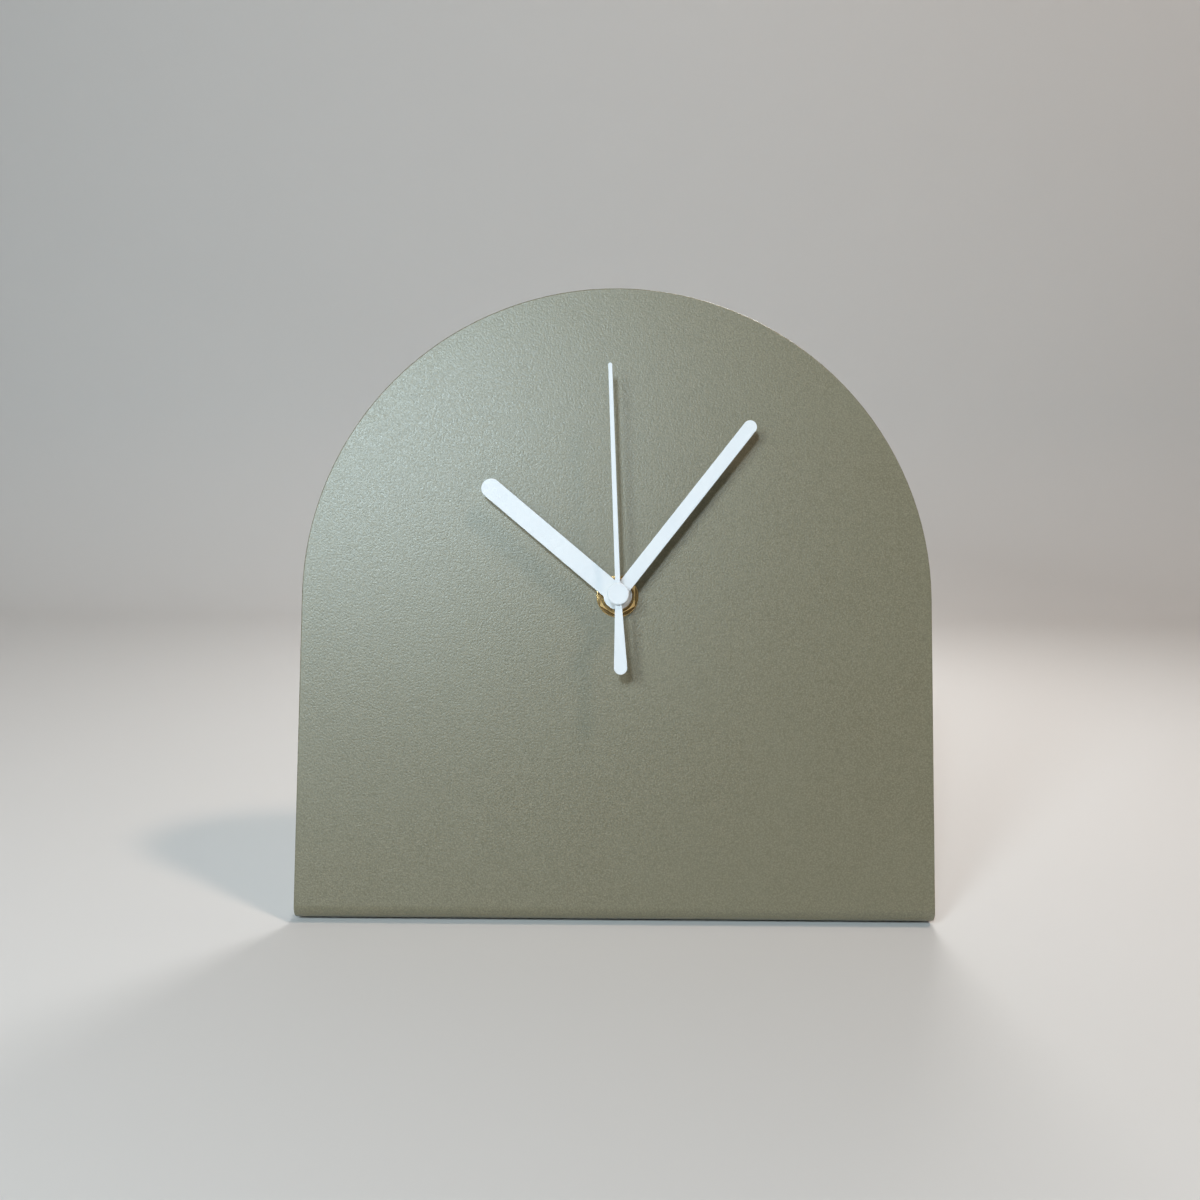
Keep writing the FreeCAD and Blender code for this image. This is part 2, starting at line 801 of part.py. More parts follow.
def rear_cover():
    """The lid of the works: lip on three sides, clips, and the hole for the knob's arbor."""
    lid = rounded_slab(
        -case_half_width,
        case_half_width,
        partition_low - case_wall,
        case_high,
        cover_low,
        cover_high,
        case_corner_radius,
    )
    below = slab(
        -case_half_width - overrun,
        case_half_width + overrun,
        case_low,
        partition_low + fixing_clearance,
        cover_low - overrun,
        cover_high + overrun,
    )
    lid = lid.cut(below)
    side = case_half_width - case_wall - fixing_clearance
    top = works_high - fixing_clearance
    bottom = partition_high + fixing_clearance
    lip = slab(-side, side, bottom, top, cover_high, cover_high + cover_lip_depth)
    hollow = slab(
        -side + cover_lip_width,
        side - cover_lip_width,
        bottom - overrun,
        top - cover_lip_width,
        cover_high - overrun,
        cover_high + cover_lip_depth + overrun,
    )
    tongues = [clip(side_u, v, 0.0) for side_u, v in clip_places()]
    lid = joined([lid, lip.cut(hollow)] + tongues)
    hole = disc(setting, knob_arbor_radius + running_clearance, cover_low - overrun, cover_high + overrun)
    return lid.cut(hole)


def plate_blank(w_low, w_high):
    """The outline that the middle plate and the bridge share: round the posts, below the coil."""
    edge = post_radius + plate_margin
    left = min(u for u, v in posts) - edge
    right = max(u for u, v in posts) + edge
    bottom = min(v for u, v in posts) - edge
    top = max(v for u, v in posts) + edge
    blank = rounded_slab(left, right, bottom, top, w_low, w_high, plate_corner_radius)
    coil_half = core_length / 2.0 + parts_gap
    coil_room = slab(
        min(left, coil_centre[0] - coil_half) - overrun,
        coil_centre[0] + coil_half,
        coil_centre[1] - flange_radius - parts_gap,
        top + overrun,
        w_low - overrun,
        w_high + overrun,
    )
    knob_room = knob_arbor_radius + parts_gap
    slot = joined([
        disc(setting, knob_room, w_low - overrun, w_high + overrun),
        slab(
            setting[0],
            max(right, setting[0] + knob_room) + overrun,
            setting[1] - knob_room,
            setting[1] + knob_room,
            w_low - overrun,
            w_high + overrun,
        ),
    ])
    return blank.cut(coil_room).cut(slot)


def pierced(plate, holes, w_low, w_high):
    """A plate with round holes through it."""
    for centre, radius in holes:
        plate = plate.cut(disc(centre, radius, w_low - overrun, w_high + overrun))
    return plate


def middle_plate():
    """The bearing plate behind the motion works, with the pillars that carry the bridge."""
    holes = [(centre, pin_radius + running_clearance) for centre in posts]
    holes.append((shaft, minute_pipe_radius + running_clearance))
    holes.append((third, third_pinion_tip + layer_gap))
    holes.append((rotor, magnet_radius + layer_gap))
    holes.append((intermediate, pivot_radius + running_clearance))
    plate = pierced(plate_blank(plate_low, plate_high), holes, plate_low, plate_high)
    pillars = []
    for centre in posts:
        pillars.append(disc(centre, post_radius, bridge_high, plate_low))
        pillars.append(disc(centre, pin_radius, bridge_low, bridge_high))
    return joined([plate] + pillars)


def train_bridge():
    """The rear bearing plate of the going train."""
    holes = [(centre, pin_radius + running_clearance) for centre in posts]
    for centre in (shaft, third, intermediate, rotor):
        holes.append((centre, pivot_radius + running_clearance))
    return pierced(plate_blank(bridge_low, bridge_high), holes, bridge_low, bridge_high)


def hour_wheel():
    """The hour wheel and the pipe that carries the hour hand."""
    wheel = hour_gear.solid(hour_wheel_low, hour_wheel_high)
    pipe = disc(shaft, hour_pipe_radius, hour_wheel_low, hour_pipe_high)
    bore = disc(shaft, hour_bore_radius, hour_wheel_low - overrun, hour_pipe_high + overrun)
    return joined([wheel, pipe]).cut(bore)


def minute_arbor():
    """The minute arbor: cannon pinion and the pipe that carries the minute hand."""
    pipe_low = plate_low + axial_play
    pinion = cannon.solid(cannon_low, cannon_high)
    pipe = disc(shaft, minute_pipe_radius, pipe_low, minute_pipe_high)
    bore = disc(shaft, minute_bore_radius, pipe_low - overrun, minute_pipe_high + overrun)
    return joined([pinion, pipe]).cut(bore)


def clutch_spring():
    """The dished spring washer of the slipping clutch."""
    inner = minute_pipe_radius
    outer = inner + clutch_spring_width
    high = cannon_low - running_clearance
    low = centre_wheel_high + running_clearance
    corners = [
        FreeCAD.Vector(inner, 0, high),
        FreeCAD.Vector(inner, 0, high - clutch_sheet),
        FreeCAD.Vector(outer, 0, low),
        FreeCAD.Vector(outer, 0, low + clutch_sheet),
    ]
    section = Part.Face(Part.makePolygon(corners + corners[:1]))
    return section.revolve(FreeCAD.Vector(0, 0, 0), FreeCAD.Vector(0, 0, 1), 360.0)


def minute_wheel():
    """The minute wheel of the motion works and its pinion, on the case's stud."""
    wheel = minute_gear.solid(minute_wheel_low, minute_wheel_high)
    pinion = minute_pinion.solid(minute_wheel_high, hour_wheel_high)
    bore = disc(
        motion, stud_radius + running_clearance, minute_wheel_low - overrun, hour_wheel_high + overrun
    )
    return joined([wheel, pinion]).cut(bore)


def centre_wheel():
    """The centre wheel, loose on the minute arbor, with a hub towards the middle plate."""
    bore_radius = minute_pipe_radius + running_clearance
    hub_low = plate_high + axial_play
    wheel = centre_gear.solid(centre_wheel_low, centre_wheel_high)
    hub = disc(shaft, bore_radius + wheel_hub_width, hub_low, centre_wheel_high)
    bore = disc(shaft, bore_radius, hub_low - overrun, centre_wheel_high + overrun)
    return joined([wheel, hub]).cut(bore)


def pivoted(centre, low, high):
    """An arbor between two bearings, with a thin pivot at each end."""
    return joined([
        disc(centre, arbor_radius, low, high),
        disc(centre, pivot_radius, low - axial_play - pivot_length, high + axial_play + pivot_length),
    ])


def third_wheel():
    """The third wheel, its pinion and arbor."""
    return joined([
        pivoted(third, bridge_high + axial_play, third_pinion_high),
        third_pinion.solid(third_pinion_low, third_pinion_high),
        third_gear.solid(third_wheel_low, third_wheel_high),
    ])


def seconds_wheel():
    """The seconds wheel and its pinion, pressed on the second arbor."""
    pinion = seconds_pinion.solid(seconds_wheel_high, seconds_pinion_high)
    wheel = seconds_gear.solid(seconds_wheel_low, seconds_wheel_high)
    bore = disc(
        shaft, second_arbor_radius, seconds_wheel_low - overrun, seconds_pinion_high + overrun
    )
    return joined([wheel, pinion]).cut(bore)


def second_arbor():
    """The second arbor, from its rear pivot to the second hand."""
    low = bridge_high + axial_play
    return joined([
        disc(shaft, second_arbor_radius, low, second_hand_high),
        disc(shaft, pivot_radius, low - axial_play - pivot_length, low),
    ])


def intermediate_wheel():
    """The intermediate wheel, its pinion and arbor."""
    return joined([
        pivoted(intermediate, bridge_high + axial_play, plate_low - axial_play),
        intermediate_pinion.solid(intermediate_pinion_low, intermediate_pinion_high),
        intermediate_gear.solid(intermediate_wheel_low, intermediate_wheel_high),
    ])


def rotor_pinion():
    """The rotor's arbor and pinion."""
    return joined([
        pivoted(rotor, bridge_high + axial_play, magnet_high),
        rotor_gear.solid(rotor_pinion_low, rotor_pinion_high),
    ])


def stator_plate():
    """The stator: a lobe round the rotor and two arms that reach the coil's core."""
    half_arm = stator_arm_width / 2.0
    half_bar = stator_bar_height / 2.0
    left = rotor[0] - stator_reach
    right = rotor[0] + stator_reach
    arm_top = coil_centre[1] + core_width / 2.0
    low = stator_low
    high = stator_high
    body = joined([
        disc(rotor, magnet_hole_radius + stator_lobe_width, low, high),
        slab(left - half_arm, right + half_arm, rotor[1] - half_bar, rotor[1] + half_bar, low, high),
        slab(left - half_arm, left + half_arm, rotor[1] - half_bar, arm_top, low, high),
        slab(right - half_arm, right + half_arm, rotor[1] - half_bar, arm_top, low, high),
    ])
    holes = [(centre, pin_radius + running_clearance) for centre in stator_posts]
    holes.append((rotor, magnet_hole_radius))
    return pierced(body, holes, low, high)


def coil_core():
    """The iron bar through the coil, lying on the stator's arms."""
    half = core_length / 2.0
    width = core_width / 2.0
    centre_u, centre_v = coil_centre
    return slab(centre_u - half, centre_u + half, centre_v - width, centre_v + width, core_low, stator_low)


def along_coil(radius, start, end):
    """A round bar on the coil's axis, between two distances from the coil's middle."""
    base = FreeCAD.Vector(coil_centre[0] + start, coil_centre[1], coil_axis_w)
    return Part.makeCylinder(radius, end - start, base, FreeCAD.Vector(1, 0, 0))


def bobbin_half():
    """Half of the bobbin's length, which fits between the stator's arms."""
    return stator_reach - stator_arm_width / 2.0 - fixing_clearance


def coil_bobbin():
    """The bobbin: a barrel with two flanges and a square way for the core."""
    half = bobbin_half()
    inner = half - bobbin_flange_thickness
    body = joined([
        along_coil(bobbin_barrel_diameter / 2.0, -half, half),
        along_coil(flange_radius, -half, -inner),
        along_coil(flange_radius, inner, half),
    ])
    way = slab(
        coil_centre[0] - half - overrun,
        coil_centre[0] + half + overrun,
        coil_centre[1] - core_width / 2.0,
        coil_centre[1] + core_width / 2.0,
        core_low,
        stator_low,
    )
    return body.cut(way)


def coil_winding():
    """The winding between the bobbin's flanges."""
    half = bobbin_half() - bobbin_flange_thickness
    outer = along_coil(winding_diameter / 2.0, -half, half)
    return outer.cut(along_coil(bobbin_barrel_diameter / 2.0, -half - overrun, half + overrun))


def circuit_board():
    """The circuit board, on two posts of the case."""
    board = rounded_slab(
        board_left, board_right, board_bottom, board_top, board_low, board_high, plate_corner_radius
    )
    holes = [(centre, pin_radius + running_clearance) for centre in board_posts]
    return pierced(board, holes, board_low, board_high)


def chip_blob():
    """The drop of resin over the chip, on the board's rear side."""
    radius = chip_diameter / 2.0
    centre = (board_left + radius + plate_margin, board_bottom + radius + plate_margin)
    low = board_low - chip_height
    blob = disc(centre, radius, low, board_low)
    return blob.makeFillet(chip_height * chip_round_share, circle_edges(blob, radius, low))


def quartz_crystal():
    """The crystal's can, lying on the board's rear side near its top."""
    radius = crystal_diameter / 2.0
    base = FreeCAD.Vector(
        board_left + plate_margin,
        board_top - radius - plate_margin,
        board_low - radius,
    )
    can = Part.makeCylinder(radius, crystal_length, base, FreeCAD.Vector(1, 0, 0))
    ends = [edge for edge in can.Edges if isinstance(edge.Curve, Part.Circle)]
    return can.makeFillet(crystal_edge_round, ends)


def battery_cell():
    """One round cell across the bay, its nub to the right."""
    body_length = battery_length - battery_nub_height
    left = -battery_length / 2.0
    axis = FreeCAD.Vector(1, 0, 0)
    base = FreeCAD.Vector(left, battery_centre_v, battery_centre_w)
    body = Part.makeCylinder(battery_radius, body_length, base, axis)
    rims = [edge for edge in body.Edges if isinstance(edge.Curve, Part.Circle)]
    body = body.makeFillet(battery_edge_round, rims)
    nub_base = FreeCAD.Vector(left + body_length, battery_centre_v, battery_centre_w)
    nub = Part.makeCylinder(battery_nub_diameter / 2.0, battery_nub_height, nub_base, axis)
    return joined([body, nub])


def strip(points, thickness, v_low, v_high):
    """A bent strip of sheet that follows points in the plane across v, with round bends."""
    pieces = []
    up = FreeCAD.Vector(0, 1, 0)
    for u, w in points:
        base = FreeCAD.Vector(u, v_low, w)
        pieces.append(Part.makeCylinder(thickness / 2.0, v_high - v_low, base, up))
    for start, end in zip(points, points[1:]):
        run_u = end[0] - start[0]
        run_w = end[1] - start[1]
        length = math.hypot(run_u, run_w)
        side_u = -run_w / length * thickness / 2.0
        side_w = run_u / length * thickness / 2.0
        corners = [
            FreeCAD.Vector(start[0] + side_u, v_low, start[1] + side_w),
            FreeCAD.Vector(end[0] + side_u, v_low, end[1] + side_w),
            FreeCAD.Vector(end[0] - side_u, v_low, end[1] - side_w),
            FreeCAD.Vector(start[0] - side_u, v_low, start[1] - side_w),
        ]
        outline = Part.makePolygon(corners + corners[:1])
        pieces.append(Part.Face(outline).extrude(FreeCAD.Vector(0, v_high - v_low, 0)))
    return joined(pieces)


def battery_contact(side):
    """A leaf spring at one end of the bay: up the end wall, then bent back towards the cell."""
    half = contact_thickness / 2.0
    wall = bay_half_length - half
    cell = battery_length / 2.0 + half + running_clearance
    floor = case_floor - half
    rear = battery_centre_w - contact_height / 2.0
    points = [
        (side * wall, rear),
        (side * wall, floor),
        (side * (wall - contact_thickness - half), floor),
        (side * cell, battery_centre_w),
    ]
    width = contact_width / 2.0
    return strip(points, contact_thickness, battery_centre_v - width, battery_centre_v + width)


def setting_knob():
    """The setting knob with its notched rim, and the arbor that runs through the works."""
    radius = knob_diameter / 2.0
    head = disc(setting, radius, knob_low, knob_high)
    head = head.makeFillet(knob_edge_round, circle_edges(head, radius, knob_low))
    for notch in range(knob_notches):
        angle = 2.0 * math.pi * notch / knob_notches
        middle = polar(setting, radius, angle, 0.0)
        cutter = disc(
            (middle.x, middle.y), knob_notch_radius, knob_low - overrun, knob_high + overrun
        )
        head = head.cut(cutter)
    tip_high = case_floor - axial_play
    arbor = disc(setting, knob_arbor_radius, knob_high, setting_pinion_high)
    tip = disc(setting, knob_arbor_radius / 2.0, knob_high, tip_high)
    return joined([head, arbor, tip])


def setting_pinion():
    """The pinion on the knob's arbor."""
    body = setting_gear.solid(setting_pinion_low, setting_pinion_high)
    bore = disc(
        setting, knob_arbor_radius, setting_pinion_low - overrun, setting_pinion_high + overrun
    )
    return body.cut(bore)


def rotor_magnet():
    """The ring magnet on the rotor's arbor."""
    return ring(rotor, magnet_radius, arbor_radius, magnet_high - magnet_height, magnet_high)


def main():
    os.makedirs("parts", exist_ok=True)

    # Stand
    save("face_stand", face_stand())
    save("foot_pads", foot_pads())

    # Hub hardware
    bore = bush_radius + fixing_clearance
    save_works("case_gasket", ring(shaft, gasket_diameter / 2.0, bore, gasket_low, -sheet_thickness))
    save_works("dial_washer", ring(shaft, washer_diameter / 2.0, bore, 0.0, nut_low))
    save_works("hex_nut", hex_nut())
    save_works("threaded_bush", threaded_bush())

    # Case
    save_works("movement_case", movement_case())
    save_works("rear_cover", rear_cover())
    save_works("middle_plate", middle_plate())
    save_works("train_bridge", train_bridge())

    # Hands
    hour_hand = baton(
        hour_tip_reach,
        hour_hand_width,
        hour_eye_diameter,
        hour_pipe_radius,
        hour_hand_low,
        hour_hand_high,
        hour_hand_deg,
    )
    minute_hand = baton(
        minute_tip_reach,
        minute_hand_width,
        minute_eye_diameter,
        minute_pipe_radius,
        minute_hand_low,
        minute_hand_high,
        minute_hand_deg,
    )
    hour_collet = ring(
        shaft,
        hour_pipe_radius + hour_collet_wall,
        hour_pipe_radius,
        bush_high + axial_play,
        hour_hand_low,
    )
    minute_collet = ring(
        shaft,
        minute_pipe_radius + minute_collet_wall,
        minute_pipe_radius,
        hour_pipe_high + axial_play,
        minute_hand_low,
    )
    second_collet = ring(
        shaft,
        second_arbor_radius + second_collet_wall,
        second_arbor_radius,
        minute_pipe_high + axial_play,
        second_hand_low,
    )
    save_works("hour_hand", hour_hand)
    save_works("hour_hand_collet", hour_collet)
    save_works("minute_hand", minute_hand)
    save_works("minute_hand_collet", minute_collet)
    save_works("second_hand", second_hand())
    save_works("second_hand_collet", second_collet)
    save_works("second_hand_cap", second_hand_cap())

    # Motion works
    save_works("hour_wheel", hour_wheel())
    save_works("minute_arbor", minute_arbor())
    save_works("clutch_spring", clutch_spring())
    save_works("minute_wheel", minute_wheel())

    # Going train
    save_works("centre_wheel", centre_wheel())
    save_works("third_wheel", third_wheel())
    save_works("seconds_wheel", seconds_wheel())
    save_works("second_arbor", second_arbor())
    save_works("intermediate_wheel", intermediate_wheel())

    # Motor
    save_works("rotor_pinion", rotor_pinion())
    save_works("rotor_magnet", rotor_magnet())
    save_works("stator_plate", stator_plate())
    save_works("coil_core", coil_core())
    save_works("coil_bobbin", coil_bobbin())
    save_works("coil_winding", coil_winding())

    # Electronics
    save_works("circuit_board", circuit_board())
    save_works("chip_blob", chip_blob())
    save_works("quartz_crystal", quartz_crystal())

    # Battery
    save_works("battery_cell", battery_cell())
    save_works("battery_positive_contact", battery_contact(1.0))
    save_works("battery_negative_contact", battery_contact(-1.0))

    # Setting knob
    save_works("setting_knob", setting_knob())
    save_works("setting_pinion", setting_pinion())


main()
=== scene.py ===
import json
import math

import bmesh
import bpy
from mathutils import Matrix, Vector


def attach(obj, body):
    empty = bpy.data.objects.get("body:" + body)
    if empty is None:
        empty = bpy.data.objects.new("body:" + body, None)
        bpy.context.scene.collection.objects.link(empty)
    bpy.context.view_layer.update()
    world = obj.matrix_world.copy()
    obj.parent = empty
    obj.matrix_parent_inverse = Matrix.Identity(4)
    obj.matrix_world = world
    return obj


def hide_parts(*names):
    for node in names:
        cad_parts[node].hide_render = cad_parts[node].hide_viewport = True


# The looks of the shelf clock: finishes for every CAD node, and finer pieces where its small forms show.
# Lengths are in metres, written as millimetres times MM. Works frame: u across, v up the face, w out of
# the face towards the viewer, origin at the hub on the face's front surface.

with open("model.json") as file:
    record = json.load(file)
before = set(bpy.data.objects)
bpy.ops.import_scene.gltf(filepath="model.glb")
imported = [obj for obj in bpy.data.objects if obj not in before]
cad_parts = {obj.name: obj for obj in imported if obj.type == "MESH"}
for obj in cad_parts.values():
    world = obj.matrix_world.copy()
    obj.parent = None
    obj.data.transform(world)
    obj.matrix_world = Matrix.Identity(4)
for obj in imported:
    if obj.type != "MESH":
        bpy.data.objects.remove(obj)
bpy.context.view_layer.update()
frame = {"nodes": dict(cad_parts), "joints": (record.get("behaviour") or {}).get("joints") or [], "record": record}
nodes = frame["nodes"]
MM = 0.001

# Works frame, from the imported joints
hand_joint = next(joint for joint in frame["joints"] if joint["name"] == "second_hand_turn")
hub = Vector(hand_joint["pos_m"])
across = Vector((1.0, 0.0, 0.0))
outward = -Vector(hand_joint["axis"]).normalized()
upward = outward.cross(across)
works = Matrix.Translation(hub) @ Matrix((across, upward, outward)).transposed().to_4x4()

# Camera, fitted to the photograph; its angles are in radians
camera_from_hub = Vector((-7.93, -374.73, 70.74)) * MM
camera_pitch = 0.18969
camera_yaw = 0.00647
camera_roll = -0.01067
sensor_width_mm = 36.0
focal_length_px = 1202.0
photo_width_px = 1200.0
camera_near = 10 * MM
camera_far = 20000 * MM

# Stage
floor_half_width = 3000 * MM
floor_front = -3000 * MM
sweep_start = 430 * MM
sweep_radius = 140 * MM
wall_height = 2200 * MM
sweep_steps = 24
floor_colour = (0.645, 0.65, 0.65, 1.0)
floor_cloud_colour = (0.62, 0.63, 0.63, 1.0)
floor_cloud = 400 * MM
fade_near = 500 * MM
fade_far = 850 * MM

# Lamps: direction in the works frame, distance from the hub, side, power in watts, colour
window_way = Vector((-0.20, 0.30, 1.0))
window_distance = 1200 * MM
window_side = 140 * MM
window_power = 5.9
window_colour = (0.80, 0.93, 1.0)
side_window_way = Vector((-0.53, 0.26, 1.0))
side_window_distance = 900 * MM
side_window_side = 190 * MM
side_window_power = 3.35
side_window_colour = (0.80, 0.935, 1.0)
ceiling_way = Vector((1.07, 2.06, 1.0))
ceiling_distance = 1340 * MM
ceiling_side = 150 * MM
ceiling_power = 6.2
ceiling_colour = (1.0, 0.74, 0.58)
back_way = Vector((0.12, 0.34, -0.26))
back_distance = 440 * MM
back_side = 160 * MM
back_power = 1.15
back_colour = (1.0, 0.98, 0.95)
sky_strength = 0.08
sky_colour = (1.0, 0.91, 0.80, 1.0)
background_colour = (0.60, 0.60, 0.59, 1.0)
room_colour = (0.10, 0.09, 0.075, 1.0)
room_from = -0.9
room_to = 0.1

# Segments of round forms
round_steps = 192
corner_steps = 5
tip_steps = 28
eye_steps = 24
arrow_steps = 14
ejector_steps = 64

# Blender's wave texture multiplies its place by this
wave_multiplier = 20.0

# Shares and sizes in finishes that several slots have in common
pit_share = 1.4
scuff_gain = 1.8
rub_size = 16 * MM
stain_gain = 0.72

# Edges sharper than this stay crisp on the pieces made here
piece_sharp_deg = 50.0

# Edges that modifiers round off
weld_gap = 0.002 * MM
bevel_segments = 2
bevel_angle_deg = 40.0
cover_bevel = 0.25 * MM
case_bevel = 0.2 * MM
knob_bevel = 0.12 * MM

# Hub pieces
thread_pitch = 0.75 * MM
thread_depth = 0.42 * MM
thread_levels = 12
thread_sharp_deg = 40.0
nut_slope = math.radians(30.0)
nut_top_share = 0.965
nut_sharp_deg = 12.0
countersink = 0.35 * MM
small_round = 0.10 * MM
washer_round = 0.20 * MM
cap_bevel = 0.36 * MM
cap_bevel_drop = 0.26 * MM
cap_dish = 0.03 * MM
cap_dish_share = 0.9
cap_centre_share = 0.02
hand_round = 0.09 * MM
hand_tip_share = 0.9
hand_eye_share = 1.0 / 6.0
hand_tail_eye_share = 1.0 / 12.0

# Battery
sleeve_film = 0.1 * MM
sleeve_fold = 1.5 * MM
sleeve_round = 0.5 * MM
crimp_width = 0.5 * MM
crimp_depth = 0.35 * MM
nub_round = 0.3 * MM
mark_relief = 0.02 * MM
mark_length = 4.2 * MM
mark_bar = 1.0 * MM
mark_inset = 6.0 * MM

# Marks moulded on the rear cover
cover_relief = 0.30 * MM
cover_bed = 0.10 * MM
frame_inset = 1.8 * MM
frame_width = 0.5 * MM
frame_corner = 2.2 * MM
sign_inset_share = 1.6
mark_sharp_deg = 30.0
arrow_radius = 6.9 * MM
arrow_width = 0.6 * MM
arrow_head = 1.1 * MM
arrow_tip_share = 1.7
arrow_start_deg = 125.0
arrow_sweep_deg = 110.0
ejector_radius = 1.9 * MM
ejector_inset_share = 3.2
ejector_line = 0.25 * MM
ejector_relief = 0.12 * MM


def paint(red, green, blue):
    """A colour from its screen values, 0 to 255, as linear red, green, blue and alpha."""
    channels = []
    for value in (red, green, blue):
        share = value / 255.0
        channels.append(share / 12.92 if share <= 0.04045 else ((share + 0.055) / 1.055) ** 2.4)
    return (*channels, 1.0)


class Finish:
    """A procedural material: one shader with colour, roughness and relief from textures in real sizes."""

    def __init__(self, name, colour, roughness, metallic=0.0):
        self.material = bpy.data.materials.new(name)
        self.material.use_nodes = True
        self.tree = self.material.node_tree
        self.shader = self.tree.nodes["Principled BSDF"]
        self.shader.inputs["Base Color"].default_value = colour
        self.shader.inputs["Roughness"].default_value = roughness
        self.shader.inputs["Metallic"].default_value = metallic
        self.colour = colour
        self.object_place = self.node("ShaderNodeTexCoord").outputs["Object"]
        self.relief = None

    def node(self, kind, **settings):
        made = self.tree.nodes.new(kind)
        for key, value in settings.items():
            setattr(made, key, value)
        return made

    def link(self, source, target):
        self.tree.links.new(source, target)

    def fix(self, **values):
        """Sets uniform values on the shader's own sockets, named with underscores for spaces."""
        for key, value in values.items():
            self.shader.inputs[key.replace("_", " ")].default_value = value

    def works_place(self):
        """Places in the works frame."""
        turn = self.node("ShaderNodeMapping", vector_type="TEXTURE")
        turn.inputs["Location"].default_value = hub
        turn.inputs["Rotation"].default_value = works.to_euler()
        self.link(self.object_place, turn.inputs["Vector"])
        return turn.outputs["Vector"]

    def noise(self, grain, detail=2.0, coarseness=0.5, distortion=0.0):
        """Soft noise with grains of that size."""
        made = self.node("ShaderNodeTexNoise")
        made.inputs["Scale"].default_value = 1.0 / grain
        made.inputs["Detail"].default_value = detail
        made.inputs["Roughness"].default_value = coarseness
        made.inputs["Distortion"].default_value = distortion
        self.link(self.object_place, made.inputs["Vector"])
        return made.outputs["Fac"]

    def cells(self, grain):
        """Rounded cells of that size."""
        made = self.node("ShaderNodeTexVoronoi")
        made.inputs["Scale"].default_value = 1.0 / grain
        self.link(self.object_place, made.inputs["Vector"])
        return made.outputs["Distance"]

    def bands(self, spacing, place, direction, distortion, detail, rings=False):
        """Lines across a direction, or rings about it, at that spacing."""
        made = self.node("ShaderNodeTexWave", wave_type="RINGS" if rings else "BANDS")
        if rings:
            made.rings_direction = direction
        else:
            made.bands_direction = direction
        made.inputs["Scale"].default_value = 2.0 * math.pi / (wave_multiplier * spacing)
        made.inputs["Distortion"].default_value = distortion
        made.inputs["Detail"].default_value = detail
        self.link(place, made.inputs["Vector"])
        return made.outputs["Fac"]

    def span(self, source, low, high, source_low=0.3, source_high=0.7):
        """Maps a texture's range to another range, clamped."""
        made = self.node("ShaderNodeMapRange")
        made.inputs["From Min"].default_value = source_low
        made.inputs["From Max"].default_value = source_high
        made.inputs["To Min"].default_value = low
        made.inputs["To Max"].default_value = high
        self.link(source, made.inputs["Value"])
        return made.outputs["Result"]

    def combine(self, first, second, operation="ADD"):
        """Adds two values, or joins them by another operation."""
        made = self.node("ShaderNodeMath", operation=operation)
        self.link(first, made.inputs[0])
        self.link(second, made.inputs[1])
        return made.outputs["Value"]

    def tint(self, share, other, source=None):
        """Mixes the colour so far with another one, by a texture's share, and returns the new colour."""
        made = self.node("ShaderNodeMix", data_type="RGBA")
        self.link(share, made.inputs["Factor"])
        if source is None:
            made.inputs["A"].default_value = self.colour
        else:
            self.link(source, made.inputs["A"])
        made.inputs["B"].default_value = other
        return made.outputs["Result"]

    def wear(self, colour, roughness):
        """Feeds the shader's colour and roughness."""
        self.link(colour, self.shader.inputs["Base Color"])
        self.link(roughness, self.shader.inputs["Roughness"])

    def emboss(self, height, depth, strength):
        """Adds relief of that depth over what is there already."""
        made = self.node("ShaderNodeBump")
        made.inputs["Distance"].default_value = depth
        made.inputs["Strength"].default_value = strength
        self.link(height, made.inputs["Height"])
        if self.relief is not None:
            self.link(self.relief, made.inputs["Normal"])
        self.relief = made.outputs["Normal"]
        self.link(self.relief, self.shader.inputs["Normal"])


# Finishes. Sizes are those of a texture's grain. span() gives the lowest and the highest share or roughness
# that a texture reaches, and tint() mixes a colour in by such a share.


def powder_coat():
    """Sage powder coat: sandy grain that sparkles in the window's sheen, faint mottling."""
    finish = Finish("sage_powder_coat", paint(121, 115, 92), roughness=0.40)
    grain = finish.noise(0.60 * MM, detail=2.0, coarseness=0.6)
    sand = finish.cells(0.50 * MM)
    cloud = finish.noise(30 * MM, detail=2.0, coarseness=0.5)
    speckled = finish.tint(finish.span(grain, 0.0, 0.7), paint(143, 137, 114))
    dust = finish.span(sand, 0.0, 0.5, source_low=0.2, source_high=0.7)
    dusted = finish.tint(dust, paint(92, 87, 66), speckled)
    clouded = finish.tint(finish.span(cloud, 0.0, 0.3), paint(121, 118, 97), dusted)
    finish.wear(clouded, finish.span(grain, 0.33, 0.46))
    finish.fix(Specular_IOR_Level=0.82, Specular_Tint=(0.90, 0.99, 1.0, 1.0))
    finish.emboss(cloud, depth=0.05 * MM, strength=0.3)
    finish.emboss(grain, depth=0.10 * MM, strength=0.75)
    return finish.material


def white_enamel():
    """Smooth satin white enamel with the faintest orange peel."""
    finish = Finish("white_enamel", (0.78, 0.83, 0.87, 1.0), roughness=0.42)
    peel = finish.noise(1.1 * MM, detail=2.0, coarseness=0.5)
    cloud = finish.noise(11 * MM, detail=2.0, coarseness=0.5)
    clouded = finish.tint(finish.span(cloud, 0.0, 0.6), (0.75, 0.805, 0.86, 1.0))
    finish.wear(clouded, finish.span(peel, 0.38, 0.50))
    finish.fix(Specular_IOR_Level=0.2)
    finish.emboss(peel, depth=0.03 * MM, strength=0.25)
    return finish.material


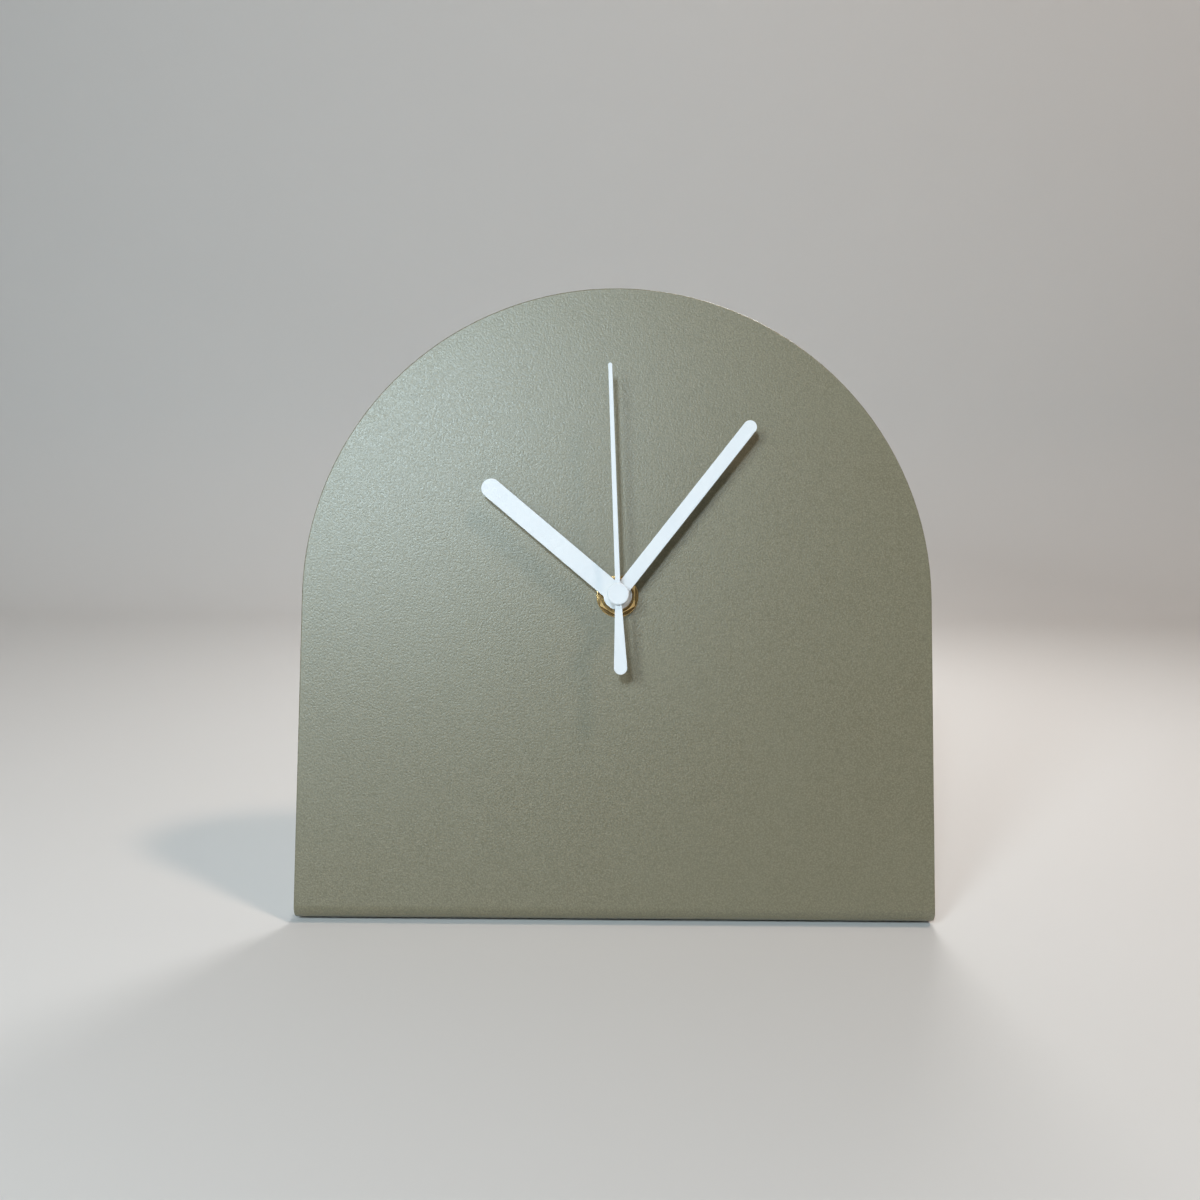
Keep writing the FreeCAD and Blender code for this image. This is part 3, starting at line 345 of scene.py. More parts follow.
def brass():
    """Plated brass: polished, slightly tarnished, with the faintest turning marks."""
    finish = Finish("brass", (0.76, 0.56, 0.26, 1.0), roughness=0.16, metallic=1.0)
    place = finish.works_place()
    rings = finish.bands(0.16 * MM, place, "Z", rings=True, distortion=0.4, detail=1.0)
    stain = finish.noise(2.6 * MM, detail=3.0, coarseness=0.6)
    tarnish = finish.span(stain, 0.0, 0.7, source_low=0.4, source_high=0.7)
    tarnished = finish.tint(tarnish, (0.52, 0.34, 0.13, 1.0))
    finish.wear(tarnished, finish.span(stain, 0.12, 0.22))
    finish.emboss(rings, depth=0.002 * MM, strength=0.12)
    return finish.material


def case_plastic(name, colour, spark, depth, roughness_low, roughness_high):
    """Black moulded plastic with a spark-eroded grain."""
    finish = Finish(name, colour, roughness=roughness_high)
    grain = finish.noise(spark, detail=4.0, coarseness=0.7)
    pits = finish.cells(spark * pit_share)
    rub = finish.noise(rub_size, detail=3.0, coarseness=0.6)
    bright = tuple(channel * scuff_gain for channel in colour[:3]) + (1.0,)
    scuffed = finish.tint(finish.span(rub, 0.0, 0.45), bright)
    greyed = finish.tint(finish.span(grain, 0.0, 0.35), bright, scuffed)
    finish.wear(greyed, finish.span(grain, roughness_low, roughness_high))
    finish.emboss(finish.combine(grain, pits), depth=depth, strength=0.6)
    return finish.material


def rubber():
    """Matt black rubber with a fine bloom."""
    finish = Finish("black_rubber", paint(34, 34, 35), roughness=0.85)
    bloom = finish.noise(1.6 * MM, detail=4.0, coarseness=0.65)
    dusty = finish.tint(finish.span(bloom, 0.0, 0.5), paint(58, 57, 55))
    finish.wear(dusty, finish.span(bloom, 0.75, 0.95))
    finish.emboss(finish.noise(0.25 * MM), depth=0.03 * MM, strength=0.5)
    return finish.material


def acetal():
    """Natural moulded acetal: milky, slightly translucent, faint flow marks."""
    finish = Finish("natural_plastic", (0.74, 0.73, 0.66, 1.0), roughness=0.34)
    flow = finish.noise(5 * MM, detail=3.0, coarseness=0.55, distortion=1.5)
    creamy = finish.tint(finish.span(flow, 0.0, 0.6), (0.68, 0.66, 0.56, 1.0))
    finish.wear(creamy, finish.span(flow, 0.26, 0.42))
    finish.fix(Subsurface_Weight=0.12, Subsurface_Radius=(1.2 * MM, 1.1 * MM, 0.9 * MM))
    finish.emboss(finish.noise(0.3 * MM), depth=0.01 * MM, strength=0.4)
    return finish.material


def drawn_metal(name, colour, roughness_low, roughness_high, spacing, direction):
    """Bright metal with fine lines along the way it was drawn or rolled."""
    finish = Finish(name, colour, roughness=roughness_high, metallic=1.0)
    place = finish.works_place()
    lines = finish.bands(spacing, place, direction, distortion=2.5, detail=3.0)
    stain = finish.noise(1.8 * MM, detail=3.0, coarseness=0.6)
    dark = tuple(channel * stain_gain for channel in colour[:3]) + (1.0,)
    stained = finish.tint(finish.span(stain, 0.0, 0.6), dark)
    polish = finish.span(lines, roughness_low, roughness_high, source_low=0.0, source_high=1.0)
    finish.wear(stained, polish)
    finish.emboss(lines, depth=0.006 * MM, strength=0.6)
    return finish.material


def magnet():
    """Sintered ferrite: dark grey, fine pores."""
    finish = Finish("magnet_iron", paint(74, 74, 78), roughness=0.5, metallic=0.55)
    pores = finish.cells(0.16 * MM)
    grain = finish.noise(0.5 * MM, detail=4.0, coarseness=0.7)
    speckled = finish.tint(finish.span(grain, 0.0, 0.7), paint(46, 46, 49))
    finish.wear(speckled, finish.span(grain, 0.38, 0.62))
    finish.emboss(pores, depth=0.02 * MM, strength=0.6)
    return finish.material


def copper_wire():
    """The coil's enamelled wire: turn beside turn round the core, which runs across the works."""
    finish = Finish("copper_wire", (0.60, 0.22, 0.075, 1.0), roughness=0.28, metallic=0.9)
    place = finish.works_place()
    turns = finish.bands(0.16 * MM, place, "X", distortion=0.25, detail=1.0)
    shade = finish.noise(1.5 * MM, detail=3.0, coarseness=0.6)
    # Painted shade: the colour is darkened in the grooves between the turns, over the relief of the turns.
    groove = finish.span(turns, 0.75, 0.0, source_low=0.0, source_high=0.6)
    groove_shaded = finish.tint(groove, (0.16, 0.045, 0.015, 1.0))
    varied = finish.tint(finish.span(shade, 0.0, 0.4), (0.72, 0.32, 0.12, 1.0), groove_shaded)
    finish.wear(varied, finish.span(shade, 0.20, 0.36))
    finish.fix(Coat_Weight=0.4, Coat_Roughness=0.15)
    finish.emboss(turns, depth=0.07 * MM, strength=0.9)
    return finish.material


def board():
    """Phenolic paper board: warm brown with fibres and a fine weave of paper."""
    finish = Finish("circuit_board", paint(176, 140, 84), roughness=0.42)
    fibre = finish.noise(0.7 * MM, detail=5.0, coarseness=0.7, distortion=2.0)
    blotch = finish.noise(4.5 * MM, detail=3.0, coarseness=0.5)
    fibrous = finish.tint(finish.span(fibre, 0.0, 0.6), paint(150, 112, 62))
    blotched = finish.tint(finish.span(blotch, 0.0, 0.35), paint(188, 156, 98), fibrous)
    finish.wear(blotched, finish.span(fibre, 0.34, 0.5))
    finish.emboss(fibre, depth=0.01 * MM, strength=0.5)
    return finish.material


def resin():
    """Glossy black drop of resin with a few dust specks."""
    finish = Finish("chip_resin", paint(20, 20, 21), roughness=0.14)
    skin_grain = finish.noise(1.4 * MM, detail=3.0, coarseness=0.5)
    dusty = finish.tint(finish.span(skin_grain, 0.0, 0.5), paint(36, 35, 34))
    finish.wear(dusty, finish.span(skin_grain, 0.08, 0.24))
    finish.emboss(skin_grain, depth=0.03 * MM, strength=0.4)
    return finish.material


def sleeve():
    """The battery's plain shrunk sleeve: charcoal film with faint shrink ripples along the cell."""
    finish = Finish("battery_jacket", paint(58, 61, 66), roughness=0.24)
    place = finish.works_place()
    ripple = finish.bands(1.9 * MM, place, "X", distortion=3.5, detail=2.0)
    cloud = finish.noise(7 * MM, detail=2.0, coarseness=0.5)
    clouded = finish.tint(finish.span(cloud, 0.0, 0.6), paint(70, 73, 79))
    finish.wear(clouded, finish.span(cloud, 0.18, 0.32))
    finish.fix(Coat_Weight=0.5, Coat_Roughness=0.12)
    finish.emboss(ripple, depth=0.02 * MM, strength=0.25)
    return finish.material


finishes = {
    "sage_powder_coat": powder_coat(),
    "white_enamel": white_enamel(),
    "brass": brass(),
    "black_rubber": rubber(),
    "black_case_plastic": case_plastic(
        "black_case_plastic", (0.022, 0.022, 0.024, 1.0), spark=0.45 * MM, depth=0.06 * MM,
        roughness_low=0.42, roughness_high=0.66,
    ),
    "knob_plastic": case_plastic(
        "knob_plastic", (0.028, 0.028, 0.030, 1.0), spark=0.6 * MM, depth=0.012 * MM,
        roughness_low=0.30, roughness_high=0.44,
    ),
    "natural_plastic": acetal(),
    "spring_steel": drawn_metal(
        "spring_steel", (0.60, 0.61, 0.63, 1.0), roughness_low=0.18, roughness_high=0.34,
        spacing=0.09 * MM, direction="Z",
    ),
    "magnet_iron": magnet(),
    "soft_iron": drawn_metal(
        "soft_iron", (0.42, 0.42, 0.43, 1.0), roughness_low=0.30, roughness_high=0.46,
        spacing=0.14 * MM, direction="X",
    ),
    "copper_wire": copper_wire(),
    "circuit_board": board(),
    "chip_resin": resin(),
    "crystal_can": drawn_metal(
        "crystal_can", (0.70, 0.70, 0.71, 1.0), roughness_low=0.16, roughness_high=0.30,
        spacing=0.08 * MM, direction="X",
    ),
    "battery_jacket": sleeve(),
    "nickel_strip": drawn_metal(
        "nickel_strip", (0.72, 0.70, 0.65, 1.0), roughness_low=0.16, roughness_high=0.30,
        spacing=0.10 * MM, direction="Y",
    ),
}


def dress_nodes():
    """Gives every CAD node the finish of its slot in the record."""
    for part in frame["record"]["subparts"]:
        node = nodes[part["node"]]
        node.data.materials.clear()
        node.data.materials.append(finishes[part["material_slot"]])


def works_points(node):
    """A CAD node's vertices in the works frame."""
    inverse = works.inverted()
    return [inverse @ vertex.co for vertex in nodes[node].data.vertices]


def works_box(node):
    """The lowest and highest corner of a CAD node in the works frame."""
    points = works_points(node)
    low = Vector(min(point[axis] for point in points) for axis in range(3))
    high = Vector(max(point[axis] for point in points) for axis in range(3))
    return low, high


def reaches(points):
    """The least and greatest distance of points from the hands' arbor."""
    found = [math.hypot(point.x, point.y) for point in points]
    return min(found), max(found)


def make_piece(name, mesh, body, slot, stands_for=(), place=None, sharp_deg=piece_sharp_deg):
    """A piece from a finished bmesh in the works frame, or in a frame placed in it, riding on a body."""
    data = bpy.data.meshes.new(name)
    bmesh.ops.recalc_face_normals(mesh, faces=mesh.faces)
    mesh.transform(works @ place if place else works)
    mesh.to_mesh(data)
    mesh.free()
    data.shade_smooth()
    data.set_sharp_from_angle(angle=math.radians(sharp_deg))
    data.materials.append(finishes[slot])
    piece = bpy.data.objects.new(name, data)
    bpy.context.scene.collection.objects.link(piece)
    shading = piece.modifiers.new("shading", "WEIGHTED_NORMAL")
    shading.keep_sharp = True
    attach(piece, body)
    if stands_for:
        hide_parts(*stands_for)


def skin(mesh, rings, closed):
    """Joins rings into a surface. A closed one joins the last ring to the first, else both get a cap."""
    made = [[mesh.verts.new(point) for point in ring] for ring in rings]
    pairs = list(zip(made, made[1:]))
    if closed:
        pairs.append((made[-1], made[0]))
    for first, second in pairs:
        count = len(first)
        for step in range(count):
            after = (step + 1) % count
            mesh.faces.new((first[step], first[after], second[after], second[step]))
    if not closed:
        mesh.faces.new(made[0])
        mesh.faces.new(made[-1])


def circle(radius, level, centre=(0.0, 0.0), steps=round_steps):
    """A ring of points; its radius and level may be functions of the angle."""
    points = []
    for step in range(steps):
        angle = 2.0 * math.pi * step / steps
        reach = radius(angle) if callable(radius) else radius
        height = level(angle) if callable(level) else level
        points.append((centre[0] + reach * math.cos(angle), centre[1] + reach * math.sin(angle), height))
    return points


def rounded(radius, level, turn_from, turn_to, rounding):
    """Points of a rounded corner, about a centre at a radius and level, between two angles in degrees."""
    made = []
    for step in range(corner_steps + 1):
        angle = math.radians(turn_from + (turn_to - turn_from) * step / corner_steps)
        made.append((radius + rounding * math.cos(angle), level + rounding * math.sin(angle)))
    return made


def lathe(profile, closed=True):
    """A turned form from profile points of radius and level."""
    mesh = bmesh.new()
    skin(mesh, [circle(radius, level) for radius, level in profile], closed)
    return mesh


def dial_washer():
    """The washer: a flat ring with softly broken edges."""
    low, high = works_box("dial_washer")
    bore, rim = reaches(works_points("dial_washer"))
    edge = washer_round
    profile = (
        rounded(rim - edge, low.z + edge, -90.0, 0.0, edge)
        + rounded(rim - edge, high.z - edge, 0.0, 90.0, edge)
        + rounded(bore + edge, high.z - edge, 90.0, 180.0, edge)
        + [(bore, low.z)]
    )
    make_piece("washer", lathe(profile), "root", "brass", ["dial_washer"])


def hub_nut():
    """The hexagon nut: chamfered corners that leave a round face, and a countersunk thread."""
    low, high = works_box("hex_nut")
    bore = reaches(works_points("hex_nut"))[0]
    flat = high.x
    crown = flat * nut_top_share
    slope = math.tan(nut_slope)
    half_side = math.pi / 6.0

    def hexagon(angle):
        within = math.fmod(angle + half_side, 2.0 * half_side) - half_side
        return flat / math.cos(within)

    def shoulder(angle):
        return high.z - (hexagon(angle) - crown) * slope

    mesh = bmesh.new()
    rings = [
        circle(bore, low.z),
        circle(hexagon, low.z),
        circle(hexagon, shoulder),
        circle(crown, high.z),
        circle(bore + countersink, high.z),
        circle(bore, high.z - countersink),
    ]
    skin(mesh, rings, True)
    make_piece("nut", mesh, "root", "brass", ["hex_nut"], sharp_deg=nut_sharp_deg)


def bush():
    """The bush end with its real thread, chamfered, on the flange behind the case's floor."""
    points = works_points("threaded_bush")
    low, high = works_box("threaded_bush")
    bore, flange = reaches(points)
    thread = reaches([point for point in points if 0.0 < point.z < high.z - small_round])[1]
    flange_high = min(point.z for point in points if point.z > low.z + small_round)

    def cut_thread(level):
        def radius(angle):
            phase = (level / thread_pitch - angle / (2.0 * math.pi)) % 1.0
            groove = thread_depth * (1.0 - abs(2.0 * phase - 1.0))
            return min(thread - groove, thread - countersink + high.z - level)
        return radius

    levels = int((high.z - flange_high) / thread_pitch * thread_levels)
    rings = [circle(bore, low.z), circle(flange, low.z), circle(flange, flange_high)]
    for step in range(levels + 1):
        level = flange_high + (high.z - flange_high) * step / levels
        rings.append(circle(cut_thread(level), level))
    rings.append(circle(bore, high.z))
    mesh = bmesh.new()
    skin(mesh, rings, True)
    make_piece("bush", mesh, "root", "brass", ["threaded_bush"], sharp_deg=thread_sharp_deg)


def hand_cap():
    """The cap on the second hand: a flat, barely dished face inside a bevelled rim."""
    low, high = works_box("second_hand_cap")
    rim = high.x
    face = rim - cap_bevel
    side = high.z - cap_bevel_drop
    profile = [
        (rim * cap_centre_share, low.z),
        (rim - small_round, low.z),
        (rim, low.z + small_round),
        *rounded(rim - small_round, side - small_round, 0.0, 45.0, small_round),
        *rounded(face, high.z - small_round, 60.0, 90.0, small_round),
        (face * cap_dish_share, high.z - cap_dish),
        (rim * cap_centre_share, high.z - cap_dish),
    ]
    make_piece("cap", lathe(profile, closed=False), "second_works", "white_enamel", ["second_hand_cap"])


def hand(node, body, tail=False):
    """A hand cut from thin sheet with softened edges, from its CAD node's own sizes."""
    points = works_points(node)
    low, high = works_box(node)
    hole, reach = reaches(points)
    tips = [point for point in points if math.hypot(point.x, point.y) > hand_tip_share * reach]
    facing = math.atan2(sum(point.y for point in tips), sum(point.x for point in tips))
    turn = Matrix.Rotation(math.pi / 2.0 - facing, 3, "Z")
    flat = [turn @ point for point in points]
    if tail:
        near = [point for point in flat if -hand_tail_eye_share * reach < point.y < hand_eye_share * reach]
        eye = max(abs(point.x) for point in near)
    else:
        eye = max(math.hypot(point.x, point.y) for point in flat if point.y < 0.0)

    def blade(way):
        side = [point for point in flat if point.y * way > 0.0]
        length = max(point.y * way for point in side)
        end = max(abs(point.x) for point in side if point.y * way > hand_tip_share * length)
        ring = [point for point in side if abs(math.hypot(point.x, point.y) - eye) < small_round / 2.0]
        return way, min(abs(point.x) for point in ring), end, length - end

    blades = [blade(1.0), blade(-1.0)] if tail else [blade(1.0)]

    def outline(inset, level):
        made = []
        radius = eye - inset
        starts = []
        for way, root, end, centre in blades:
            half = root - inset
            along = math.sqrt(radius * radius - half * half)
            starts.append((math.atan2(way * along, way * half), math.atan2(way * along, -way * half)))
            made.append([(way * half, way * along)])
            for step in range(tip_steps + 1):
                angle = math.pi * step / tip_steps
                made[-1].append((
                    way * (end - inset) * math.cos(angle), way * (centre + (end - inset) * math.sin(angle))
                ))
            made[-1].append((-way * half, way * along))
        whole = []
        for index, part in enumerate(made):
            whole += part
            first = starts[index][1]
            last = starts[(index + 1) % len(starts)][0]
            sweep = (last - first) % (2.0 * math.pi)
            for step in range(1, eye_steps):
                angle = first + sweep * step / eye_steps
                whole.append((radius * math.cos(angle), radius * math.sin(angle)))
        return [(x, y, level) for x, y in whole]

    def eye_hole(level):
        ring = []
        for x, y, _ in outline(0.0, level):
            angle = math.atan2(y, x)
            ring.append((hole * math.cos(angle), hole * math.sin(angle), level))
        return ring

    edge = hand_round
    rings = [eye_hole(low.z)]
    for step in range(corner_steps + 1):
        angle = math.pi / 2.0 * step / corner_steps
        rings.append(outline(edge * (1.0 - math.sin(angle)), low.z + edge * (1.0 - math.cos(angle))))
    for step in range(corner_steps + 1):
        angle = math.pi / 2.0 * step / corner_steps
        rings.append(outline(edge * (1.0 - math.cos(angle)), high.z - edge * (1.0 - math.sin(angle))))
    rings.append(eye_hole(high.z))
    mesh = bmesh.new()
    skin(mesh, rings, True)
    place = Matrix.Rotation(facing - math.pi / 2.0, 4, "Z")
    make_piece(node + "_sheet", mesh, body, "white_enamel", [node], place)


def battery():
    """One cell: shrunk sleeve folded over the ends, crimped steel top with its nub, flat steel base."""
    low, high = works_box("battery_cell")
    points = works_points("battery_cell")
    radius = (high.y - low.y) / 2.0
    middle = Vector((0.0, (high.y + low.y) / 2.0, (high.z + low.z) / 2.0))
    ends = [point - middle for point in points]
    nub = max(math.hypot(end.y, end.z) for end in ends if end.x > high.x - small_round)
    body_end = max(end.x for end in ends if math.hypot(end.y, end.z) > nub + small_round)
    place = Matrix.Translation(middle) @ Matrix(((0, 0, 1, 0), (1, 0, 0, 0), (0, 1, 0, 0), (0, 0, 0, 1)))
    edge = sleeve_round
    fold = radius - sleeve_fold
    inner = radius - sleeve_film
    sleeve_profile = [
        (fold, low.x + sleeve_film),
        (fold, low.x),
        *rounded(radius - edge, low.x + edge, -90.0, 0.0, edge),
        *rounded(radius - edge, body_end - edge, 0.0, 90.0, edge),
        (fold, body_end),
        (fold, body_end - sleeve_film),
        (inner - edge, body_end - sleeve_film),
        (inner, body_end - edge),
        (inner, low.x + edge),
        (inner - edge, low.x + sleeve_film),
    ]
    sleeve_mesh = lathe(sleeve_profile)
    make_piece("battery_sleeve", sleeve_mesh, "battery", "battery_jacket", ["battery_cell"], place)
    top = body_end - sleeve_film
    steel_top = [
        (inner - edge, top - 2.0 * edge),
        (inner - edge, top),
        (fold - crimp_width, top),
        *rounded(fold - 2.0 * crimp_width, top, 0.0, -180.0, crimp_width),
        (nub + 2.0 * crimp_width, top),
        (nub + small_round, top + small_round),
        (nub, top + crimp_depth),
        *rounded(nub - nub_round, high.x - nub_round, 0.0, 90.0, nub_round),
        (nub / 2.0, high.x),
        (small_round, high.x),
    ]
    top_mesh = lathe(steel_top, closed=False)
    make_piece("battery_top", top_mesh, "battery", "nickel_strip", ["battery_cell"], place)
    base = low.x + sleeve_film
    steel_base = [
        (small_round, base),
        (fold - 3.0 * crimp_width, base),
        (fold - 2.0 * crimp_width, base + crimp_depth),
        (fold, base + crimp_depth),
        (inner - edge, base + crimp_depth),
        (inner - edge, base + 2.0 * edge),
    ]
    base_mesh = lathe(steel_base, closed=False)
    make_piece("battery_base", base_mesh, "battery", "nickel_strip", ["battery_cell"], place)

    def print_patch(mesh, start, end, half_height):
        """A thin printed patch on the sleeve's rear, between two places along the cell."""
        half_turn = half_height / radius
        section = (
            (start, -mark_relief),
            (start, mark_relief),
            (end, mark_relief),
            (end, -mark_relief),
        )
        rings = []
        for along, lift in section:
            ring = []
            for step in range(corner_steps + 1):
                angle = -math.pi / 2.0 - half_turn + 2.0 * half_turn * step / corner_steps
                ring.append(((radius + lift) * math.cos(angle), (radius + lift) * math.sin(angle), along))
            rings.append(ring)
        made = [[mesh.verts.new(point) for point in ring] for ring in rings]
        for first, second in zip(made, made[1:] + made[:1]):
            for step in range(corner_steps):
                mesh.faces.new((first[step], first[step + 1], second[step + 1], second[step]))
        mesh.faces.new([ring[0] for ring in made])
        mesh.faces.new([ring[-1] for ring in made])

    plus = body_end - mark_inset
    minus = low.x + mark_inset
    marks = bmesh.new()
    print_patch(marks, plus - mark_length / 2.0, plus - mark_bar / 2.0, mark_bar / 2.0)
    print_patch(marks, plus - mark_bar / 2.0, plus + mark_bar / 2.0, mark_length / 2.0)
    print_patch(marks, plus + mark_bar / 2.0, plus + mark_length / 2.0, mark_bar / 2.0)
    print_patch(marks, minus - mark_length / 2.0, minus + mark_length / 2.0, mark_bar / 2.0)
    make_piece("battery_marks", marks, "battery", "natural_plastic", place=place)


def raised(mesh, corners, level):
    """A flat form that stands proud of the cover's rear face, from its corners."""
    foot = [(u, v, level + cover_bed) for u, v in corners]
    head = [(u, v, level - cover_relief) for u, v in corners]
    skin(mesh, [foot, head], False)


def bar(centre, width, height):
    """Corners of an upright bar."""
    u, v = centre
    half_width = width / 2.0
    half_height = height / 2.0
    return [
        (u - half_width, v - half_height),
        (u + half_width, v - half_height),
        (u + half_width, v + half_height),
        (u - half_width, v + half_height),
    ]


def soft_corners(low, high, inset, corner):
    """Outline of a box with round corners, set in from two corners of a CAD box."""
    made = []
    places = (
        (high.x - inset - corner, high.y - inset - corner, 0.0),
        (low.x + inset + corner, high.y - inset - corner, 90.0),
        (low.x + inset + corner, low.y + inset + corner, 180.0),
        (high.x - inset - corner, low.y + inset + corner, 270.0),
    )
    for u, v, start in places:
        made += rounded(u, v, start, start + 90.0, corner)
    return made


def cover_marks():
    """What is moulded on the rear cover: frame line, battery signs, turning arrow, ejector rings."""
    low, high = works_box("rear_cover")
    knob_low, knob_high = works_box("setting_knob")
    knob = ((knob_low.x + knob_high.x) / 2.0, (knob_low.y + knob_high.y) / 2.0)
    level = low.z
    mesh = bmesh.new()

    outer = soft_corners(low, high, frame_inset, frame_corner)
    inner = soft_corners(low, high, frame_inset + frame_width, frame_corner - frame_width)
    rings = []
    for outline, height in (
        (outer, level + cover_bed),
        (outer, level - cover_relief),
        (inner, level - cover_relief),
        (inner, level + cover_bed),
    ):
        rings.append([(u, v, height) for u, v in outline])
    skin(mesh, rings, True)

    sign_v = low.y + frame_inset + mark_length
    side = high.x - frame_inset - sign_inset_share * mark_length
    raised(mesh, bar((side, sign_v), mark_bar, mark_length), level)
    for way in (-1.0, 1.0):
        place = side + way * (mark_length + mark_bar) / 4.0
        raised(mesh, bar((place, sign_v), (mark_length - mark_bar) / 2.0, mark_bar), level)
    raised(mesh, bar((-side, sign_v), mark_length, mark_bar), level)

    arc = []
    for step in range(arrow_steps + 1):
        angle = math.radians(arrow_start_deg + arrow_sweep_deg * step / arrow_steps)
        arc.append((math.cos(angle), math.sin(angle)))
    for near, far in zip(arc, arc[1:]):
        corners = []
        for way, radius in ((near, 0.0), (near, arrow_width), (far, arrow_width), (far, 0.0)):
            reach = arrow_radius + radius
            corners.append((knob[0] + reach * way[0], knob[1] + reach * way[1]))
        raised(mesh, corners, level)
    for tip, turn in ((arc[0], -1.0), (arc[-1], 1.0)):
        middle = arrow_radius + arrow_width / 2.0
        point = (
            knob[0] + middle * tip[0] - turn * arrow_tip_share * arrow_head * tip[1],
            knob[1] + middle * tip[1] + turn * arrow_tip_share * arrow_head * tip[0],
        )
        corners = [
            (knob[0] + (middle - arrow_head) * tip[0], knob[1] + (middle - arrow_head) * tip[1]),
            (knob[0] + (middle + arrow_head) * tip[0], knob[1] + (middle + arrow_head) * tip[1]),
            point,
        ]
        raised(mesh, corners, level)
    make_piece("cover_marks", mesh, "root", "black_case_plastic", sharp_deg=mark_sharp_deg)

    rings = bmesh.new()
    spread = high.x - ejector_inset_share * frame_inset - ejector_radius
    top = high.y - ejector_inset_share * frame_inset - ejector_radius
    places = ((-spread, top), (spread, top), (-spread, 0.0), (-spread / 3.0, top), (spread / 3.0, top))
    outside = ejector_radius + ejector_line
    profile = [
        (ejector_radius, level + cover_bed),
        (ejector_radius, level - ejector_relief),
        (outside, level - ejector_relief),
        (outside, level + cover_bed),
    ]
    for u, v in places:
        skin(rings, [circle(radius, height, (u, v), ejector_steps) for radius, height in profile], True)
    make_piece("ejector_marks", rings, "root", "black_case_plastic", sharp_deg=mark_sharp_deg)


def soften(node, width):
    """Rounds the sharp edges of a CAD node with modifiers."""
    piece = nodes[node]
    weld = piece.modifiers.new("weld", "WELD")
    weld.merge_threshold = weld_gap
    bevel = piece.modifiers.new("bevel", "BEVEL")
    bevel.width = width
    bevel.segments = bevel_segments
    bevel.limit_method = "ANGLE"
    bevel.angle_limit = math.radians(bevel_angle_deg)
    shading = piece.modifiers.new("shading", "WEIGHTED_NORMAL")
    shading.keep_sharp = False


def seen_rays(tree):
    """Whether a ray comes from the camera, and whether it comes from there or by a shiny surface."""
    path = tree.nodes.new("ShaderNodeLightPath")
    seen = path.outputs["Is Camera Ray"]
    for kind in ("Is Glossy Ray", "Is Transmission Ray"):
        either = tree.nodes.new("ShaderNodeMath")
        either.operation = "MAXIMUM"
        tree.links.new(seen, either.inputs[0])
        tree.links.new(path.outputs[kind], either.inputs[1])
        seen = either.outputs["Value"]
    return path.outputs["Is Camera Ray"], seen


def fade_out(finish):
    """Far in front of the clock and beside it, the stage is seen to melt into the pale background."""
    split = finish.node("ShaderNodeSeparateXYZ")
    finish.link(finish.object_place, split.inputs["Vector"])
    ahead = finish.node("ShaderNodeMath", operation="MINIMUM")
    ahead.inputs[1].default_value = 0.0
    finish.link(split.outputs["Y"], ahead.inputs[0])
    flat = finish.node("ShaderNodeCombineXYZ")
    finish.link(split.outputs["X"], flat.inputs["X"])
    finish.link(ahead.outputs["Value"], flat.inputs["Y"])
    reach = finish.node("ShaderNodeVectorMath", operation="LENGTH")
    finish.link(flat.outputs["Vector"], reach.inputs[0])
    far = finish.span(reach.outputs["Value"], 0.0, 1.0, fade_near, fade_far)
    glow = finish.node("ShaderNodeEmission")
    glow.inputs["Color"].default_value = background_colour
    mix = finish.node("ShaderNodeMixShader")
    seen_far = finish.combine(far, seen_rays(finish.tree)[1], "MULTIPLY")
    finish.link(seen_far, mix.inputs["Fac"])
    finish.link(finish.shader.outputs["BSDF"], mix.inputs[1])
    finish.link(glow.outputs["Emission"], mix.inputs[2])
    finish.link(mix.outputs["Shader"], finish.tree.nodes["Material Output"].inputs["Surface"])


def floor_and_wall():
    """A pale floor that sweeps up into a wall behind the clock."""
    mesh = bmesh.new()
    profile = [(floor_front, 0.0)]
    for step in range(sweep_steps + 1):
        angle = math.pi / 2.0 * step / sweep_steps
        profile.append((
            sweep_start + sweep_radius * math.sin(angle),
            sweep_radius * (1.0 - math.cos(angle)),
        ))
    profile.append((sweep_start + sweep_radius, wall_height))
    left = [mesh.verts.new((-floor_half_width, y, z)) for y, z in profile]
    right = [mesh.verts.new((floor_half_width, y, z)) for y, z in profile]
    for step in range(len(profile) - 1):
        mesh.faces.new((left[step], right[step], right[step + 1], left[step + 1]))
    data = bpy.data.meshes.new("floor")
    mesh.to_mesh(data)
    mesh.free()
    data.shade_smooth()
    finish = Finish("floor_paper", floor_colour, roughness=0.9)
    cloud = finish.noise(floor_cloud)
    clouded = finish.tint(finish.span(cloud, 0.0, 0.3), floor_cloud_colour)
    finish.wear(clouded, finish.span(cloud, 0.85, 0.95))
    fade_out(finish)
    data.materials.append(finish.material)
    floor = bpy.data.objects.new("floor", data)
    bpy.context.scene.collection.objects.link(floor)


def lamp(name, way, distance, side, power, colour):
    """A soft square lamp that looks at the hub from a direction of the works frame."""
    data = bpy.data.lights.new(name, "AREA")
    data.shape = "SQUARE"
    data.size = side
    data.energy = power
    data.color = colour
    made = bpy.data.objects.new(name, data)
    outwards = works.to_3x3() @ way.normalized()
    made.location = hub + distance * outwards
    made.rotation_euler = (-outwards).to_track_quat("-Z", "Y").to_euler()
    made.visible_camera = False
    bpy.context.scene.collection.objects.link(made)


